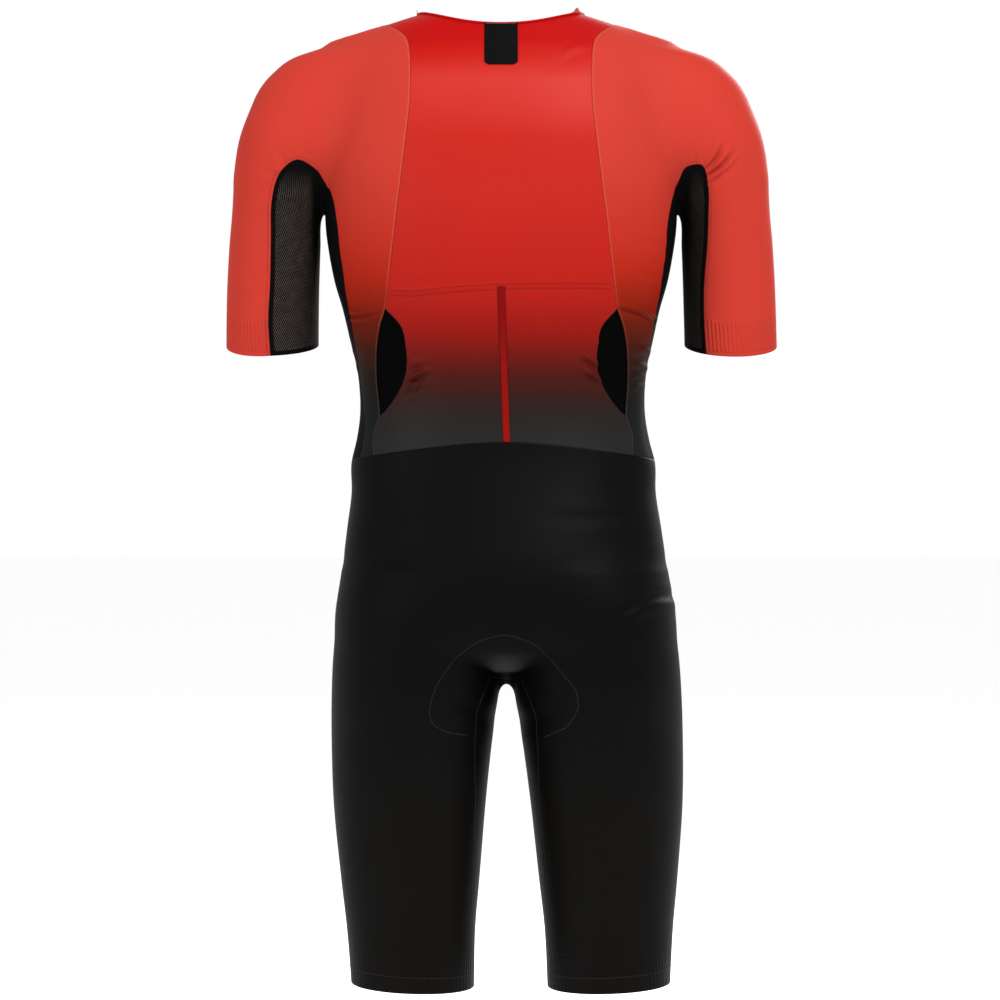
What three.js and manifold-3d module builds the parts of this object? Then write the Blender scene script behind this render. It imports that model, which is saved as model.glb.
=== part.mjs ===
// A short-sleeved triathlon suit, filled out as if worn by a general figure, arms hanging.
// Millimetres, +Z up. The chest faces -Y, the back faces +Y and the wearer's left is +X.
// The origin is between the tops of the shoulders, where the wearer carries the suit.
//
// Every panel is cut from one smooth outer form, which is a blend of oval sections for the trunk,
// the arms and the thighs. Rungs run across each sleeve and each leg from the inside line to the
// outside line, and columns run along them, so that seams are grid lines that neighbours share.
import * as THREE from "three";
import { mergeVertices } from "three/addons/utils/BufferGeometryUtils.js";
import Module from "manifold-3d";

const CLOTH = 1.5; // wall of the body panels
const THIN = 1.0; // wall of the label and the tape
const SEAM = 0.3; // gap between two pieces at a seam, and between layers
const PAD = 4.0; // foam of the seat pad
const PAD_LIFT = 0.7; // the pad lies this far inside the shorts
const PAST_INNER = 2; // how far a rung runs on past its inner point
const RAD = Math.PI / 180;

// Sections of the outer form, from the lowest up. middle is the section's centre in X, half is
// its half width, front and back are its reach in Y and power is 2 for an ellipse, more for a box.
const SECTION = ["z", "middle", "half", "front", "back", "power"];
const TRUNK = [
  [-641, 0, 14, -12, 20, 2.0],
  [-636, 0, 56, -40, 46, 2.0],
  [-627, 0, 98, -64, 76, 2.05],
  [-617, 0, 124, -78, 98, 2.1],
  [-600, 0, 142, -86, 113, 2.2],
  [-565, 0, 157, -93, 121, 2.3],
  [-532, 0, 160, -97, 118, 2.3],
  [-501, 0, 157, -99, 109, 2.3],
  [-463, 0, 152, -99, 97, 2.3],
  [-434, 0, 152, -99, 89, 2.3],
  [-410, 0, 146.5, -98, 85, 2.3],
  [-388, 0, 143, -98, 83, 2.3],
  [-366, 0, 142.5, -100, 84, 2.3],
  [-340, 0, 145, -104, 88, 2.3],
  [-310, 0, 151.7, -109, 94, 2.3],
  [-280, 0, 158.5, -114, 100, 2.35],
  [-250, 0, 167, -118, 106, 2.4],
  [-210, 0, 174, -121, 112, 2.4],
  [-186, 0, 175.8, -121, 115, 2.4],
  [-120, 0, 177, -114, 117, 2.4],
  [-70, 0, 172, -98, 106, 2.3],
  [-40, 0, 168, -84, 92, 2.2],
  [-24, 0, 162, -76, 84, 2.1],
  [-12, 0, 148, -68, 76, 2.05],
  [0, 0, 126, -61, 69, 2.0],
  [9, 0, 98, -57, 63, 2.0],
  [14, 0, 77, -55, 60, 2.0],
  [45, 0, 60, -52, 54, 2.0],
];
const ARM = [
  [-350, 232.8, 46.8, -96, 0, 2.0],
  [-322, 232.3, 46.7, -90, 6, 2.0],
  [-260, 230.2, 46.4, -79, 19, 2.0],
  [-216, 227.6, 45.8, -71, 30, 2.0],
  [-186, 225.3, 44.9, -68, 40, 2.0],
  [-165, 219.0, 49.5, -66, 47, 2.0],
  [-145, 213.5, 54.0, -65, 53, 2.0],
  [-110, 204.0, 57.5, -62, 60, 2.0],
  [-80, 195.0, 55.5, -57, 58, 2.0],
  [-60, 185.0, 51.0, -50, 52, 2.0],
  [-45, 174.0, 45.0, -42, 46, 2.0],
  [-30, 158.0, 35.0, -30, 36, 2.0],
  [-18, 142.0, 20.0, -16, 22, 2.0],
];
const THIGH = [
  [-985, 98.0, 61.0, -63, 59, 2.1],
  [-951, 98.1, 61.6, -66, 60, 2.1],
  [-898, 98.9, 64.3, -72, 63, 2.1],
  [-848, 99.0, 69.3, -79, 68, 2.1],
  [-773, 98.5, 76.0, -87, 78, 2.1],
  [-706, 95.0, 80.5, -92, 90, 2.1],
  [-654, 90.5, 83.5, -92, 105, 2.1],
  [-620, 88.0, 83.5, -92, 112, 2.1],
  [-580, 84.0, 82.0, -90, 114, 2.1],
  [-540, 78.0, 70.0, -80, 100, 2.1],
];

// How far the forms melt into each other, at the armpit, over the shoulder and between the legs.
const ARMPIT_BLEND = 7;
const SHOULDER_BLEND = 38;
const ARMPIT_Z = -184;
const SHOULDER_Z = -120;
const HIP_BLEND = 26;
const CROTCH_BLEND = 18;

// The lower half stands a little to the wearer's right, as a worn suit does.
const LEAN = 0.0167;
const LEAN_FROM = -280;

// Rungs of a sleeve and its side of the trunk, from the cuff over the shoulder to the waist.
// The inner line is the underarm, the outer line is the sleeve's top and then the raglan seam.
// y is where rays start and tilt turns the rung's back edge down. wide and narrow are the reach
// of the mesh panel, as seen from behind and from the front: the arms are turned a little.
const ARM_RUNG = ["innerX", "innerZ", "outerX", "outerZ", "y", "tilt", "share", "wide", "narrow"];
const ARM_RUNGS = [
  [185.6, -313, 279.0, -313, -42, 12, 0.5, 45.5, 19],
  [184.2, -284, 277.3, -278, -35, 12, 0.5, 47.5, 18],
  [182.8, -255, 274.3, -238, -27, 11, 0.5, 46, 18.5],
  [181.6, -219, 269.0, -188, -16, 9, 0.5, 46.5, 22.5],
  [181.0, -197, 266.4, -145, -7, 6, 0.5, 50, 26],
  [180.4, -190.5, 258.5, -97, 0, 3, 0.5, 56, 35.7],
  [179.8, -188, 232.0, -54, 4, 0, 0.5, 56, 50],
  [179.3, -187, 188.0, -26, 6, 0, 0.5, 42, 44],
  [178.8, -186.5, 153.0, -12, 6, 0, 0.5, 31, 30],
  [178.4, -186.5, 124.0, -1, 6, 0, 0.5, 26, 24],
  [178.0, -187, 105.5, -5, 6, 0, 0.6, 25, 20.5],
  [177.6, -188.5, 91.8, -20, 6, 0, 0.75, 23, 18.5],
  [177.2, -191, 88.5, -45, 4, 0, 0.9, 22, 17.5],
  [176.6, -196, 88.3, -80, 2, 0, 1, 21, 16.5],
  [175.6, -203, 92.0, -118, 0, 0, 1, 19, 15.5],
  [174.2, -213, 97.0, -158, -2, 0, 1, 17, 13.5],
  [171.8, -231, 102.0, -195, -4, 0, 1, 15, 10.8],
  [166.5, -254, 106.0, -228, -6, 0, 1, 12.5, 8.3],
  [159.3, -277, 110.0, -259, -7, 0, 1, 7.7, 4.5],
  [153.5, -302, 113.5, -283, -8, 0, 1, 6.2, 3.4],
  [150.0, -318, 119.5, -301, -8, 0, 1, 5.5, 3],
  [147.0, -334, 122.8, -320, -8, 0, 1, 5, 2.8],
  [144.6, -350, 123.8, -338, -8, 0, 1, 4.6, 2.6],
  [143.0, -366, 123.5, -355, -8, 0, 1, 4.5, 2.6],
  [142.8, -381, 122.2, -371, -8, 0, 1, 5.5, 2.8],
  [143.4, -396, 121.4, -387, -8, 0, 1, 7.5, 3.2],
  [147.0, -413, 127.0, -406, -7, 0, 1, 9.5, 5],
  [151.0, -431, 139.0, -427.5, -6, 0, 1, 12, 9],
];
const TOP_RUNG = 9; // the raglan seams leave the top of the shoulder here
const POCKET_RUNG = 18; // the pocket's top stitching
const SCOOP = { top: 19, bottom: 25 }; // rungs between which the pocket is open at its side
const UNDERARM_COLUMNS = 2;
const SLEEVE_COLUMNS = 5;

// Rungs of one leg and its half of the seat, from the hem to the waist. seam is the angle of the
// side seam about the rung, 180 at the outermost line and less towards the back.
// panel is the reach of the inner leg panel as seen from behind.
const LEG_RUNG = ["innerX", "innerZ", "outerX", "outerZ", "y", "tilt", "seam", "panel"];
const LEG_RUNGS = [
  [36.5, -955.5, 159.6, -951, -3, 1, 150, 5],
  [35.0, -924, 162.3, -915, -4, 0, 154, 5],
  [31.6, -886, 166.5, -872, -5, 0, 160, 6],
  [27.6, -848, 170.8, -830, -5, 0, 170, 8],
  [23.4, -808, 174.0, -788, -4, 0, 180, 10.5],
  [18.8, -769, 175.3, -744, -3, 0, 186, 13],
  [14.6, -733, 175.6, -704, 0, 0, 190, 17],
  [10.6, -702, 174.6, -668, 3, 0, 192, 20],
  [6.4, -675, 172.6, -637, 6, 0, 192, 20],
  [0, -648.5, 170.6, -612, 8, 0, 192, 16],
  [0, -643.5, 168.6, -592, 8, 0, 192, 16],
  [0, -638.5, 166.2, -572, 8, 0, 192, 17],
  [0, -631, 163.3, -551, 8, 0, 192, 18],
  [0, -614, 160.0, -529, 7, 0, 192, 20],
  [0, -586, 156.4, -507, 4, 0, 192, 22],
  [0, -549, 153.0, -483, 0, 0, 191, 24],
  [0, -506, 151.8, -461, -4, 0, 189, 26],
  [0, -461, 152.2, -445, -5, 0, 188, 28],
  [0, -414, 152.0, -431, -6, 0, 187, 30],
];
const CROTCH_RUNG = 9; // rungs above it are open at the middle of the body
const INNER_COLUMNS = 2;
const LEG_COLUMNS = 6;
const PAD_RUNGS = { first: 8, last: 13 }; // the seat pad's reach, in rungs and columns
const PAD_COLUMNS = 4;

// The waist seam is highest at the middle of the back.
const WAIST = { middle: -413.5, side: -430.5, sharpness: 1.43, gap: 1.1 };
const RAGLAN_AT_WAIST = 24.5; // degrees round from the side
const MESH_AT_WAIST = { wide: 15.5, narrow: 11 };

// The neckline, seen from above as an angle round the neck: 0 is the shoulder, 90 the back.
const NECK = { half: 76, shoulder: 14, back: 2.5, front: -60, backY: 63, frontY: -84, root: -80 };
const BINDING = 4.5; // height of the bound edge
const BINDING_FOOT = 0.8; // its lower edge clears the panels' straighter edges
const NUB = { height: 4, reach: 5 }; // the shoulder seam's end stands up at the neckline
const NECK_COLUMNS = 6;
const SHOULDER_COLUMNS = 2;
const ROW_BOW = 3; // degrees

// Half width of the back panel beside the pocket's side opening.
const SCOOP_SECTION = ["z", "half"];
const SCOOP_CURVE = [
  [-387, 119],
  [-371, 106],
  [-355, 97],
  [-338, 93],
  [-320, 93.7],
  [-301, 98],
  [-283, 113.5],
];

const LABEL = { half: 16, top: 0.5, bottom: -38.5, corner: 3 };
const TAPE_HALF = 4;
const LINING_FROM = 5; // column of the side panel where the pocket's inner layer ends
const ZIP = { half: 4.6, edge: 4.9, top: -63, thick: 1.8 };
const SLIDER = { z: -77, wide: 4.2, narrow: 3.2, length: 10, plate: 1.8, lift: 0.5, bevel: 0.3 };
const BRIDGE = { wide: 2.2, length: 7.2, leg: 1.2, opening: 2.4, top: 1.1 };
const TAB = { top: 2.7, foot: 3.2, length: 22, thick: 1.2, bar: 1.2, window: 5, side: 1, droop: 6 };

// Smooth columns of a table by cubic pieces through its rows.
class Sections {
  constructor(names, rows) {
    this.names = names;
    this.rows = rows;
    this.slopes = rows.map((row, i) => {
      const before = rows[Math.max(0, i - 1)];
      const after = rows[Math.min(rows.length - 1, i + 1)];
      return row.map((_, c) => (after[c] - before[c]) / (after[0] - before[0]));
    });
  }
  at(z) {
    const rows = this.rows;
    const held = THREE.MathUtils.clamp(z, rows[0][0], rows.at(-1)[0]);
    let i = 0;
    while (i < rows.length - 2 && held > rows[i + 1][0]) i += 1;
    const span = rows[i + 1][0] - rows[i][0];
    const t = (held - rows[i][0]) / span;
    const found = {};
    this.names.forEach((name, c) => {
      const a = rows[i][c];
      const b = rows[i + 1][c];
      const slopeA = this.slopes[i][c] * span;
      const slopeB = this.slopes[i + 1][c] * span;
      const low = (2 * t ** 3 - 3 * t ** 2 + 1) * a + (t ** 3 - 2 * t ** 2 + t) * slopeA;
      const high = (3 * t ** 2 - 2 * t ** 3) * b + (t ** 3 - t ** 2) * slopeB;
      found[name] = low + high;
    });
    found.beyond = Math.abs(z - held);
    return found;
  }
}
const named = (names, row) => Object.fromEntries(names.map((name, c) => [name, row[c]]));
const trunk = new Sections(SECTION, TRUNK);
const arm = new Sections(SECTION, ARM);
const thigh = new Sections(SECTION, THIGH);
const scoop = new Sections(SCOOP_SECTION, SCOOP_CURVE);

// Below 0 inside an oval section and above 0 outside it, about a distance.
function oval(x, y, section) {
  const half = (section.back - section.front) / 2;
  const u = Math.abs(x - section.middle) / section.half;
  const v = Math.abs(y - (section.back + section.front) / 2) / half;
  const share = (u ** section.power + v ** section.power) ** (1 / section.power);
  const away = (share - 1) * Math.min(section.half, half);
  return section.beyond > 0 ? Math.max(away, 0) + section.beyond : away;
}

function melt(a, b, reach) {
  const near = Math.max(reach - Math.abs(a - b), 0) / reach;
  return Math.min(a, b) - (near * near * reach) / 4;
}

// The outer form of the whole suit: 0 on the cloth, below 0 inside it.
function form(p) {
  const x = Math.abs(p.x);
  const over = THREE.MathUtils.smoothstep(p.z, ARMPIT_Z, SHOULDER_Z);
  const blend = ARMPIT_BLEND + (SHOULDER_BLEND - ARMPIT_BLEND) * over;
  const leg = thigh.at(p.z);
  const legs = melt(oval(x, p.y, leg), oval(-x, p.y, leg), CROTCH_BLEND);
  const body = melt(oval(x, p.y, trunk.at(p.z)), legs, HIP_BLEND);
  return melt(body, oval(x, p.y, arm.at(p.z)), blend);
}

function slope(p) {
  const step = 0.5;
  const g = new THREE.Vector3();
  for (const axis of ["x", "y", "z"]) {
    const more = p.clone();
    const less = p.clone();
    more[axis] += step;
    less[axis] -= step;
    g[axis] = (form(more) - form(less)) / (2 * step);
  }
  return g;
}

// Moves a point that is near the form onto it.
function settle(p) {
  const q = p.clone();
  for (let i = 0; i < 5; i += 1) {
    const g = slope(q);
    q.addScaledVector(g, -form(q) / Math.max(g.lengthSq(), 0.05));
  }
  return q;
}

// Where a ray from inside leaves the form.
function reach(origin, direction, shape = form) {
  const stride = 3;
  const along = (s) => origin.clone().addScaledVector(direction, s);
  let near = 0;
  let far = stride;
  while (shape(along(far)) < 0 && far < 600) {
    near = far;
    far += stride;
  }
  for (let i = 0; i < 26; i += 1) {
    const middle = (near + far) / 2;
    if (shape(along(middle)) < 0) near = middle;
    else far = middle;
  }
  return along((near + far) / 2);
}

const vertex = (p) => ({ p, n: slope(p).normalize() });
const onForm = (p) => vertex(settle(p));

// Points at equal steps along a polyline.
function evenly(points, count) {
  const lengths = [0];
  for (let i = 1; i < points.length; i += 1)
    lengths.push(lengths[i - 1] + points[i].distanceTo(points[i - 1]));
  return Array.from({ length: count + 1 }, (_, k) => {
    const want = (lengths.at(-1) * k) / count;
    let i = 1;
    while (i < points.length - 1 && lengths[i] < want) i += 1;
    const t = (want - lengths[i - 1]) / (lengths[i] - lengths[i - 1]);
    return points[i - 1].clone().lerp(points[i], t);
  });
}

// A rung is the line in which a plane through the inner and outer points cuts the form, and it
// ends a little past the inner point, where the next limb begins.
// Its points go by the angle about a centre: 0 is the inner line, 90 the back, -90 the front.
class Rung {
  constructor(row) {
    Object.assign(this, row);
    this.inside = new THREE.Vector3(this.innerX, 0, this.innerZ);
    const across = new THREE.Vector3(this.outerX, 0, this.outerZ).sub(this.inside);
    this.length = across.length();
    this.across = across.normalize();
    this.backward = new THREE.Vector3(0, Math.cos(this.tilt * RAD), -Math.sin(this.tilt * RAD));
    this.centre = this.inside.clone().addScaledVector(this.across, (this.share ?? 0.5) * this.length);
    this.centre.y = this.y;
  }
  at(angle) {
    const direction = this.across
      .clone()
      .multiplyScalar(-Math.cos(angle * RAD))
      .addScaledVector(this.backward, Math.sin(angle * RAD));
    return reach(this.centre, direction, (p) => Math.max(form(p), -PAST_INNER - this.distance(p)));
  }
  distance(p) {
    return p.clone().sub(this.inside).dot(this.across);
  }
  // The angle, on one side, where the point lies this far from the inner line as seen from behind.
  angleAt(distance, side, limit) {
    let low = 0;
    let high = limit;
    for (let i = 0; i < 30; i += 1) {
      const middle = (low + high) / 2;
      if (this.distance(this.at(side * middle)) < distance) low = middle;
      else high = middle;
    }
    return (side * (low + high)) / 2;
  }
  // Evenly spaced points between two angles.
  line(from, to, columns) {
    const fine = 6 * columns;
    const points = Array.from({ length: fine + 1 }, (_, k) => this.at(from + ((to - from) * k) / fine));
    return evenly(points, columns).map(onForm);
  }
}

// A point on the waist seam, by its angle round the trunk: 0 is the left side, 90 the back.
function waist(angle, below = 0) {
  const up = Math.abs(Math.sin(angle * RAD)) ** WAIST.sharpness;
  const z = WAIST.side + (WAIST.middle - WAIST.side) * up - below;
  const section = trunk.at(z);
  const centre = new THREE.Vector3(0, (section.front + section.back) / 2, z);
  return vertex(reach(centre, new THREE.Vector3(Math.cos(angle * RAD), Math.sin(angle * RAD), 0)));
}
const spread = (from, to, columns) =>
  Array.from({ length: columns + 1 }, (_, k) => from + ((to - from) * k) / columns);

function neckline(angle, rise = 0) {
  const side = Math.cos(angle * RAD);
  const up = Math.sin(angle * RAD);
  const back = NECK.back + (NECK.shoulder - NECK.back) * side ** 2;
  const front = NECK.shoulder - (NECK.shoulder - NECK.front) * Math.abs(up) ** 1.3;
  const y = up * (up >= 0 ? NECK.backY : -NECK.frontY);
  const root = new THREE.Vector3(0, 0, NECK.root + rise);
  const aim = new THREE.Vector3(NECK.half * side, y, (up >= 0 ? back : front) + rise);
  return vertex(reach(root, aim.sub(root).normalize()));
}

// One row of a ladder: the inner part and the outer part of the line, joined at their edge.
const joined = (near, far) => [...near, ...far.slice(1)];

// The sleeve side of the suit. Column 0 is the underarm line, which back and front share.
function armLadder(backReach, frontReach) {
  const rows = ARM_RUNGS.map((row) => new Rung(named(ARM_RUNG, row)));
  const half = (rung, i, side, meshReach) => {
    if (i === rows.length - 1) {
      const edge = side * MESH_AT_WAIST[meshReach];
      return joined(
        spread(0, edge, UNDERARM_COLUMNS).map((angle) => waist(angle)),
        spread(edge, side * RAGLAN_AT_WAIST, SLEEVE_COLUMNS).map((angle) => waist(angle)),
      );
    }
    const edge = rung.angleAt(rung[meshReach], side, 110);
    const end = i <= TOP_RUNG ? side * 180 : rung.angleAt(rung.length, side, 180);
    return joined(
      rung.line(0, edge, UNDERARM_COLUMNS),
      rung.line(edge, end, SLEEVE_COLUMNS),
    );
  };
  const back = rows.map((rung, i) => half(rung, i, 1, backReach));
  const front = rows.map((rung, i) => half(rung, i, -1, frontReach));
  front.forEach((line, i) => {
    line[0] = back[i][0];
    if (i <= TOP_RUNG) line[line.length - 1] = back[i].at(-1);
  });
  return { back, front };
}

// One leg with its half of the seat. The last column is the side seam, which back and front share.
function legLadder() {
  const rows = LEG_RUNGS.map((row) => new Rung(named(LEG_RUNG, row)));
  const half = (rung, i, side) => {
    const seam = side > 0 ? rung.seam : rung.seam - 360;
    if (i === rows.length - 1) {
      const end = 180 - rung.seam;
      const middle = side * 90;
      const edge = middle + (end - middle) * 0.2;
      const under = (angle) => waist(angle, WAIST.gap);
      return joined(
        spread(middle, edge, INNER_COLUMNS).map(under),
        spread(edge, end, LEG_COLUMNS).map(under),
      );
    }
    const start = i >= CROTCH_RUNG ? rung.angleAt(0, side, 110) : 0;
    const edge = rung.angleAt(rung.panel, side, 110);
    return joined(
      rung.line(start, edge, INNER_COLUMNS),
      rung.line(edge, seam, LEG_COLUMNS),
    );
  };
  const back = rows.map((rung, i) => half(rung, i, 1));
  const front = rows.map((rung, i) => half(rung, i, -1));
  for (const line of [...back.slice(CROTCH_RUNG), ...front.slice(CROTCH_RUNG)]) line[0].p.x = 0;
  front.forEach((line, i) => {
    if (i < CROTCH_RUNG) line[0] = back[i][0];
    line[line.length - 1] = back[i].at(-1);
  });
  return { back, front };
}

// The same points on the wearer's right. Points on the middle plane stay shared.
const turn = new THREE.Vector3(-1, 1, 1);
const opposite = (v) => ({ p: v.p.clone().multiply(turn), n: v.n.clone().multiply(turn) });
function mirrored(ladder) {
  const made = new Map();
  const other = (v) => {
    if (Math.abs(v.p.x) < 0.01) return v;
    if (!made.has(v)) made.set(v, opposite(v));
    return made.get(v);
  };
  const turned = (grid) => grid.map((line) => line.map(other));
  return { back: turned(ladder.back), front: turned(ladder.front) };
}

// The small triangles that close the crotch below the first open rung.
const crotch = vertex(reach(new THREE.Vector3(0, 4, -600), new THREE.Vector3(0, 0, -1)));
crotch.p.x = 0;
function gusset({ back, front }) {
  const below = back[CROTCH_RUNG - 1][0];
  return [back, front].map((grid) => {
    const face = [below, crotch, grid[CROTCH_RUNG][0]];
    const across = face[1].p.clone().sub(face[0].p);
    const over = face[2].p.clone().sub(face[0].p);
    return across.cross(over).dot(crotch.n) > 0 ? face : face.reverse();
  });
}

// Quads of a grid of vertices, rows by columns, turned so that they face out of the form.
function quads(grid, { rows = [0, grid.length - 1], columns = [0, grid[0].length - 1] } = {}) {
  const made = [];
  let outward = 0;
  for (let i = rows[0]; i < rows[1]; i += 1) {
    for (let j = columns[0]; j < columns[1]; j += 1) {
      const quad = [grid[i][j], grid[i][j + 1], grid[i + 1][j + 1], grid[i + 1][j]];
      const across = quad[2].p.clone().sub(quad[0].p);
      const over = quad[3].p.clone().sub(quad[1].p);
      outward += across.cross(over).dot(quad[0].n);
      made.push(quad);
    }
  }
  return outward > 0 ? made : made.map((quad) => quad.reverse());
}

// The line on the form from a to b, as evenly spaced points. Seen from the middle of the trunk
// it turns and rises at one rate, and a line above the neckline's root bows up near a.
function across(a, b, columns) {
  const root = new THREE.Vector3(0, 0, Math.min(NECK.root, a.p.z));
  const seen = ({ p }) => ({
    turn: Math.atan2(p.y, p.x),
    rise: Math.atan2(p.z - root.z, Math.hypot(p.x, p.y)),
  });
  const from = seen(a);
  const to = seen(b);
  const bow = a.p.z > NECK.root ? ROW_BOW * RAD : 0;
  const points = spread(0, 1, 6 * columns).map((t) => {
    const turned = from.turn + (to.turn - from.turn) * t;
    const bowed = bow * Math.sin(Math.PI * t) * (1 - t);
    const rise = from.rise + (to.rise - from.rise) * t + bowed;
    const flat = Math.cos(rise);
    const aim = new THREE.Vector3(Math.cos(turned) * flat, Math.sin(turned) * flat, Math.sin(rise));
    return reach(root, aim);
  });
  return [a, ...evenly(points, columns).slice(1, -1).map(onForm), b];
}

// Closed cloth from faces that share vertices: an outer skin, an inner skin and walls at its
// edges, which are drawn in by half a seam. lift moves both skins out from the form.
function cloth(name, faces, material, { thick = CLOTH, lift = 0, inset = SEAM / 2 } = {}) {
  const index = new Map();
  const vertices = [];
  const number = (v) => {
    if (!index.has(v)) {
      index.set(v, vertices.length);
      vertices.push(v);
    }
    return index.get(v);
  };
  const triangles = [];
  for (const face of faces) {
    const [a, b, c, d] = face;
    const [na, nb, nc, nd] = face.map(number);
    if (!d) triangles.push([na, nb, nc]);
    else if (a.p.distanceTo(c.p) <= b.p.distanceTo(d.p)) triangles.push([na, nb, nc], [na, nc, nd]);
    else triangles.push([na, nb, nd], [nb, nc, nd]);
  }
  const edges = new Set();
  for (const t of triangles) for (let k = 0; k < 3; k += 1) edges.add(`${t[k]} ${t[(k + 1) % 3]}`);
  const rim = [...edges]
    .map((key) => key.split(" ").map(Number))
    .filter(([a, b]) => !edges.has(`${b} ${a}`));
  const inward = vertices.map(() => []);
  for (const [a, b] of rim) {
    const along = vertices[b].p.clone().sub(vertices[a].p);
    for (const k of [a, b]) inward[k].push(vertices[k].n.clone().cross(along).normalize());
  }
  const placed = vertices.map((v, k) => {
    const p = v.p.clone();
    if (inward[k].length) {
      const sum = inward[k].reduce((total, d) => total.add(d), new THREE.Vector3());
      const share = Math.max(1 + inward[k][0].dot(inward[k].at(-1)), 0.1);
      p.addScaledVector(sum, inset / share / (inward[k].length / 2));
    }
    return p;
  });
  const skin = (height) =>
    placed.map((p, k) => leaned(p.clone().addScaledVector(vertices[k].n, height)));
  const points = [...skin(lift), ...skin(lift - thick)];
  const below = vertices.length;
  // Both pieces at a seam split their walls along the same, shorter diagonal.
  const diagonal = (a, b) =>
    vertices[a].p.distanceTo(vertices[b].p.clone().addScaledVector(vertices[b].n, -thick));
  const wall = ([a, b]) =>
    diagonal(a, b) <= diagonal(b, a)
      ? [[a, a + below, b + below], [a, b + below, b]]
      : [[a, a + below, b], [b, a + below, b + below]];
  const all = [
    ...triangles,
    ...triangles.map(([a, b, c]) => [a + below, c + below, b + below]),
    ...rim.flatMap(wall),
  ];
  const geometry = new THREE.BufferGeometry();
  geometry.setAttribute(
    "position",
    new THREE.Float32BufferAttribute(points.flatMap((p) => [p.x, p.y, p.z]), 3),
  );
  geometry.setIndex(all.flat());
  geometry.computeVertexNormals();
  const mesh = new THREE.Mesh(geometry, material);
  mesh.name = name;
  return mesh;
}

function lean(z) {
  const below = LEAN_FROM - z;
  const soft = 40;
  return LEAN * (below + Math.hypot(below, soft)) * 0.5;
}
const leaned = (p) => new THREE.Vector3(p.x - lean(p.z), p.y, p.z);

const finish = (color, roughness, metalness = 0) =>
  new THREE.MeshStandardMaterial({ color, roughness, metalness });
const materials = {
  coral: finish(0xd8402f, 0.6),
  red: finish(0xc92b25, 0.4),
  mesh: finish(0x17171a, 0.75),
  black: finish(0x171717, 0.55),
  lining: finish(0x161416, 0.7),
  foam: finish(0x242426, 0.85),
  label: finish(0x1d1b1d, 0.5),
  tape: finish(0xb02620, 0.5),
  zip: finish(0x141414, 0.45),
  metal: finish(0x2b2b2e, 0.35, 0.8),
};

const suit = new THREE.Group();
const arms = { left: armLadder("wide", "narrow"), right: armLadder("narrow", "wide") };
arms.right = mirrored(arms.right);
// The top of the shoulder is one point for the sleeve, the back and the front.

for (const [side, ladder] of Object.entries(arms)) {
  const underarm = { columns: [0, UNDERARM_COLUMNS] };
  const sleeve = { columns: [UNDERARM_COLUMNS, UNDERARM_COLUMNS + SLEEVE_COLUMNS] };
  suit.add(
    cloth(
      `underarm_mesh_${side}`,
      [...quads(ladder.back, underarm), ...quads(ladder.front, underarm)],
      materials.mesh,
    ),
    cloth(
      `sleeve_${side}`,
      [...quads(ladder.back, sleeve), ...quads(ladder.front, sleeve)],
      materials.coral,
    ),
  );
}

// The raglan seam of one side, from the shoulder's top to the waist.
const raglan = (grid) => grid.slice(TOP_RUNG).map((line) => line.at(-1));

// The shoulder seam, from the raglan seam's top to the neckline, on the top of the shoulder.
const shoulderTop = arms.left.back[TOP_RUNG].at(-1).p;
const neckPoint = neckline(0).p;
const shoulderSeam = spread(0, 1, SHOULDER_COLUMNS).map((t) => {
  if (t === 0) return arms.left.back[TOP_RUNG].at(-1);
  if (t === 1) return neckline(0);
  const low = shoulderTop.clone().lerp(neckPoint, t).setZ(-60);
  return vertex(reach(low, new THREE.Vector3(0, 0, 1)));
});
const shoulderSeamRight = [arms.right.back[TOP_RUNG].at(-1), ...shoulderSeam.slice(1).map(opposite)];

// The back panel's edge follows the raglan seam except at the pocket's side opening.
function backEdge(grid, side) {
  return raglan(grid).map((v, k) => {
    const rung = k + TOP_RUNG;
    if (rung <= SCOOP.top || rung >= SCOOP.bottom) return v;
    const x = side * scoop.at(v.p.z).half;
    return vertex(reach(new THREE.Vector3(x, -6, v.p.z), new THREE.Vector3(0, 1, 0)));
  });
}
const neckBack = spread(0, 180, 2 * NECK_COLUMNS).map((angle) => neckline(angle));
const backTop = [...shoulderSeam.slice(0, -1), ...neckBack, ...shoulderSeamRight.slice(0, -1).reverse()];
const backColumns = backTop.length - 1;
const backBottom = spread(RAGLAN_AT_WAIST, 180 - RAGLAN_AT_WAIST, backColumns).map((angle) =>
  waist(angle),
);
// How far down the panel each point of its edge lies, as a share of its height.
const fallen = (edge) => edge.map(({ p }) => (p.z - edge[0].p.z) / (edge.at(-1).p.z - edge[0].p.z));
const backEdges = [backEdge(arms.left.back, 1), backEdge(arms.right.back, -1)];
const backMiddle = fallen(backEdges[0]).map((share) => {
  const z = THREE.MathUtils.lerp(NECK.back, WAIST.middle, share);
  return vertex(reach(new THREE.Vector3(0, -6, z), new THREE.Vector3(0, 1, 0)));
});
const backGrid = backMiddle.map((middle, i) => {
  if (i === 0) return backTop;
  if (i === backMiddle.length - 1) return backBottom;
  const halves = backEdges.map((edge) => across(edge[i], middle, backColumns / 2));
  return [...halves[0], ...halves[1].reverse().slice(1)];
});
suit.add(cloth("back_panel", quads(backGrid), materials.red));

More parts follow.
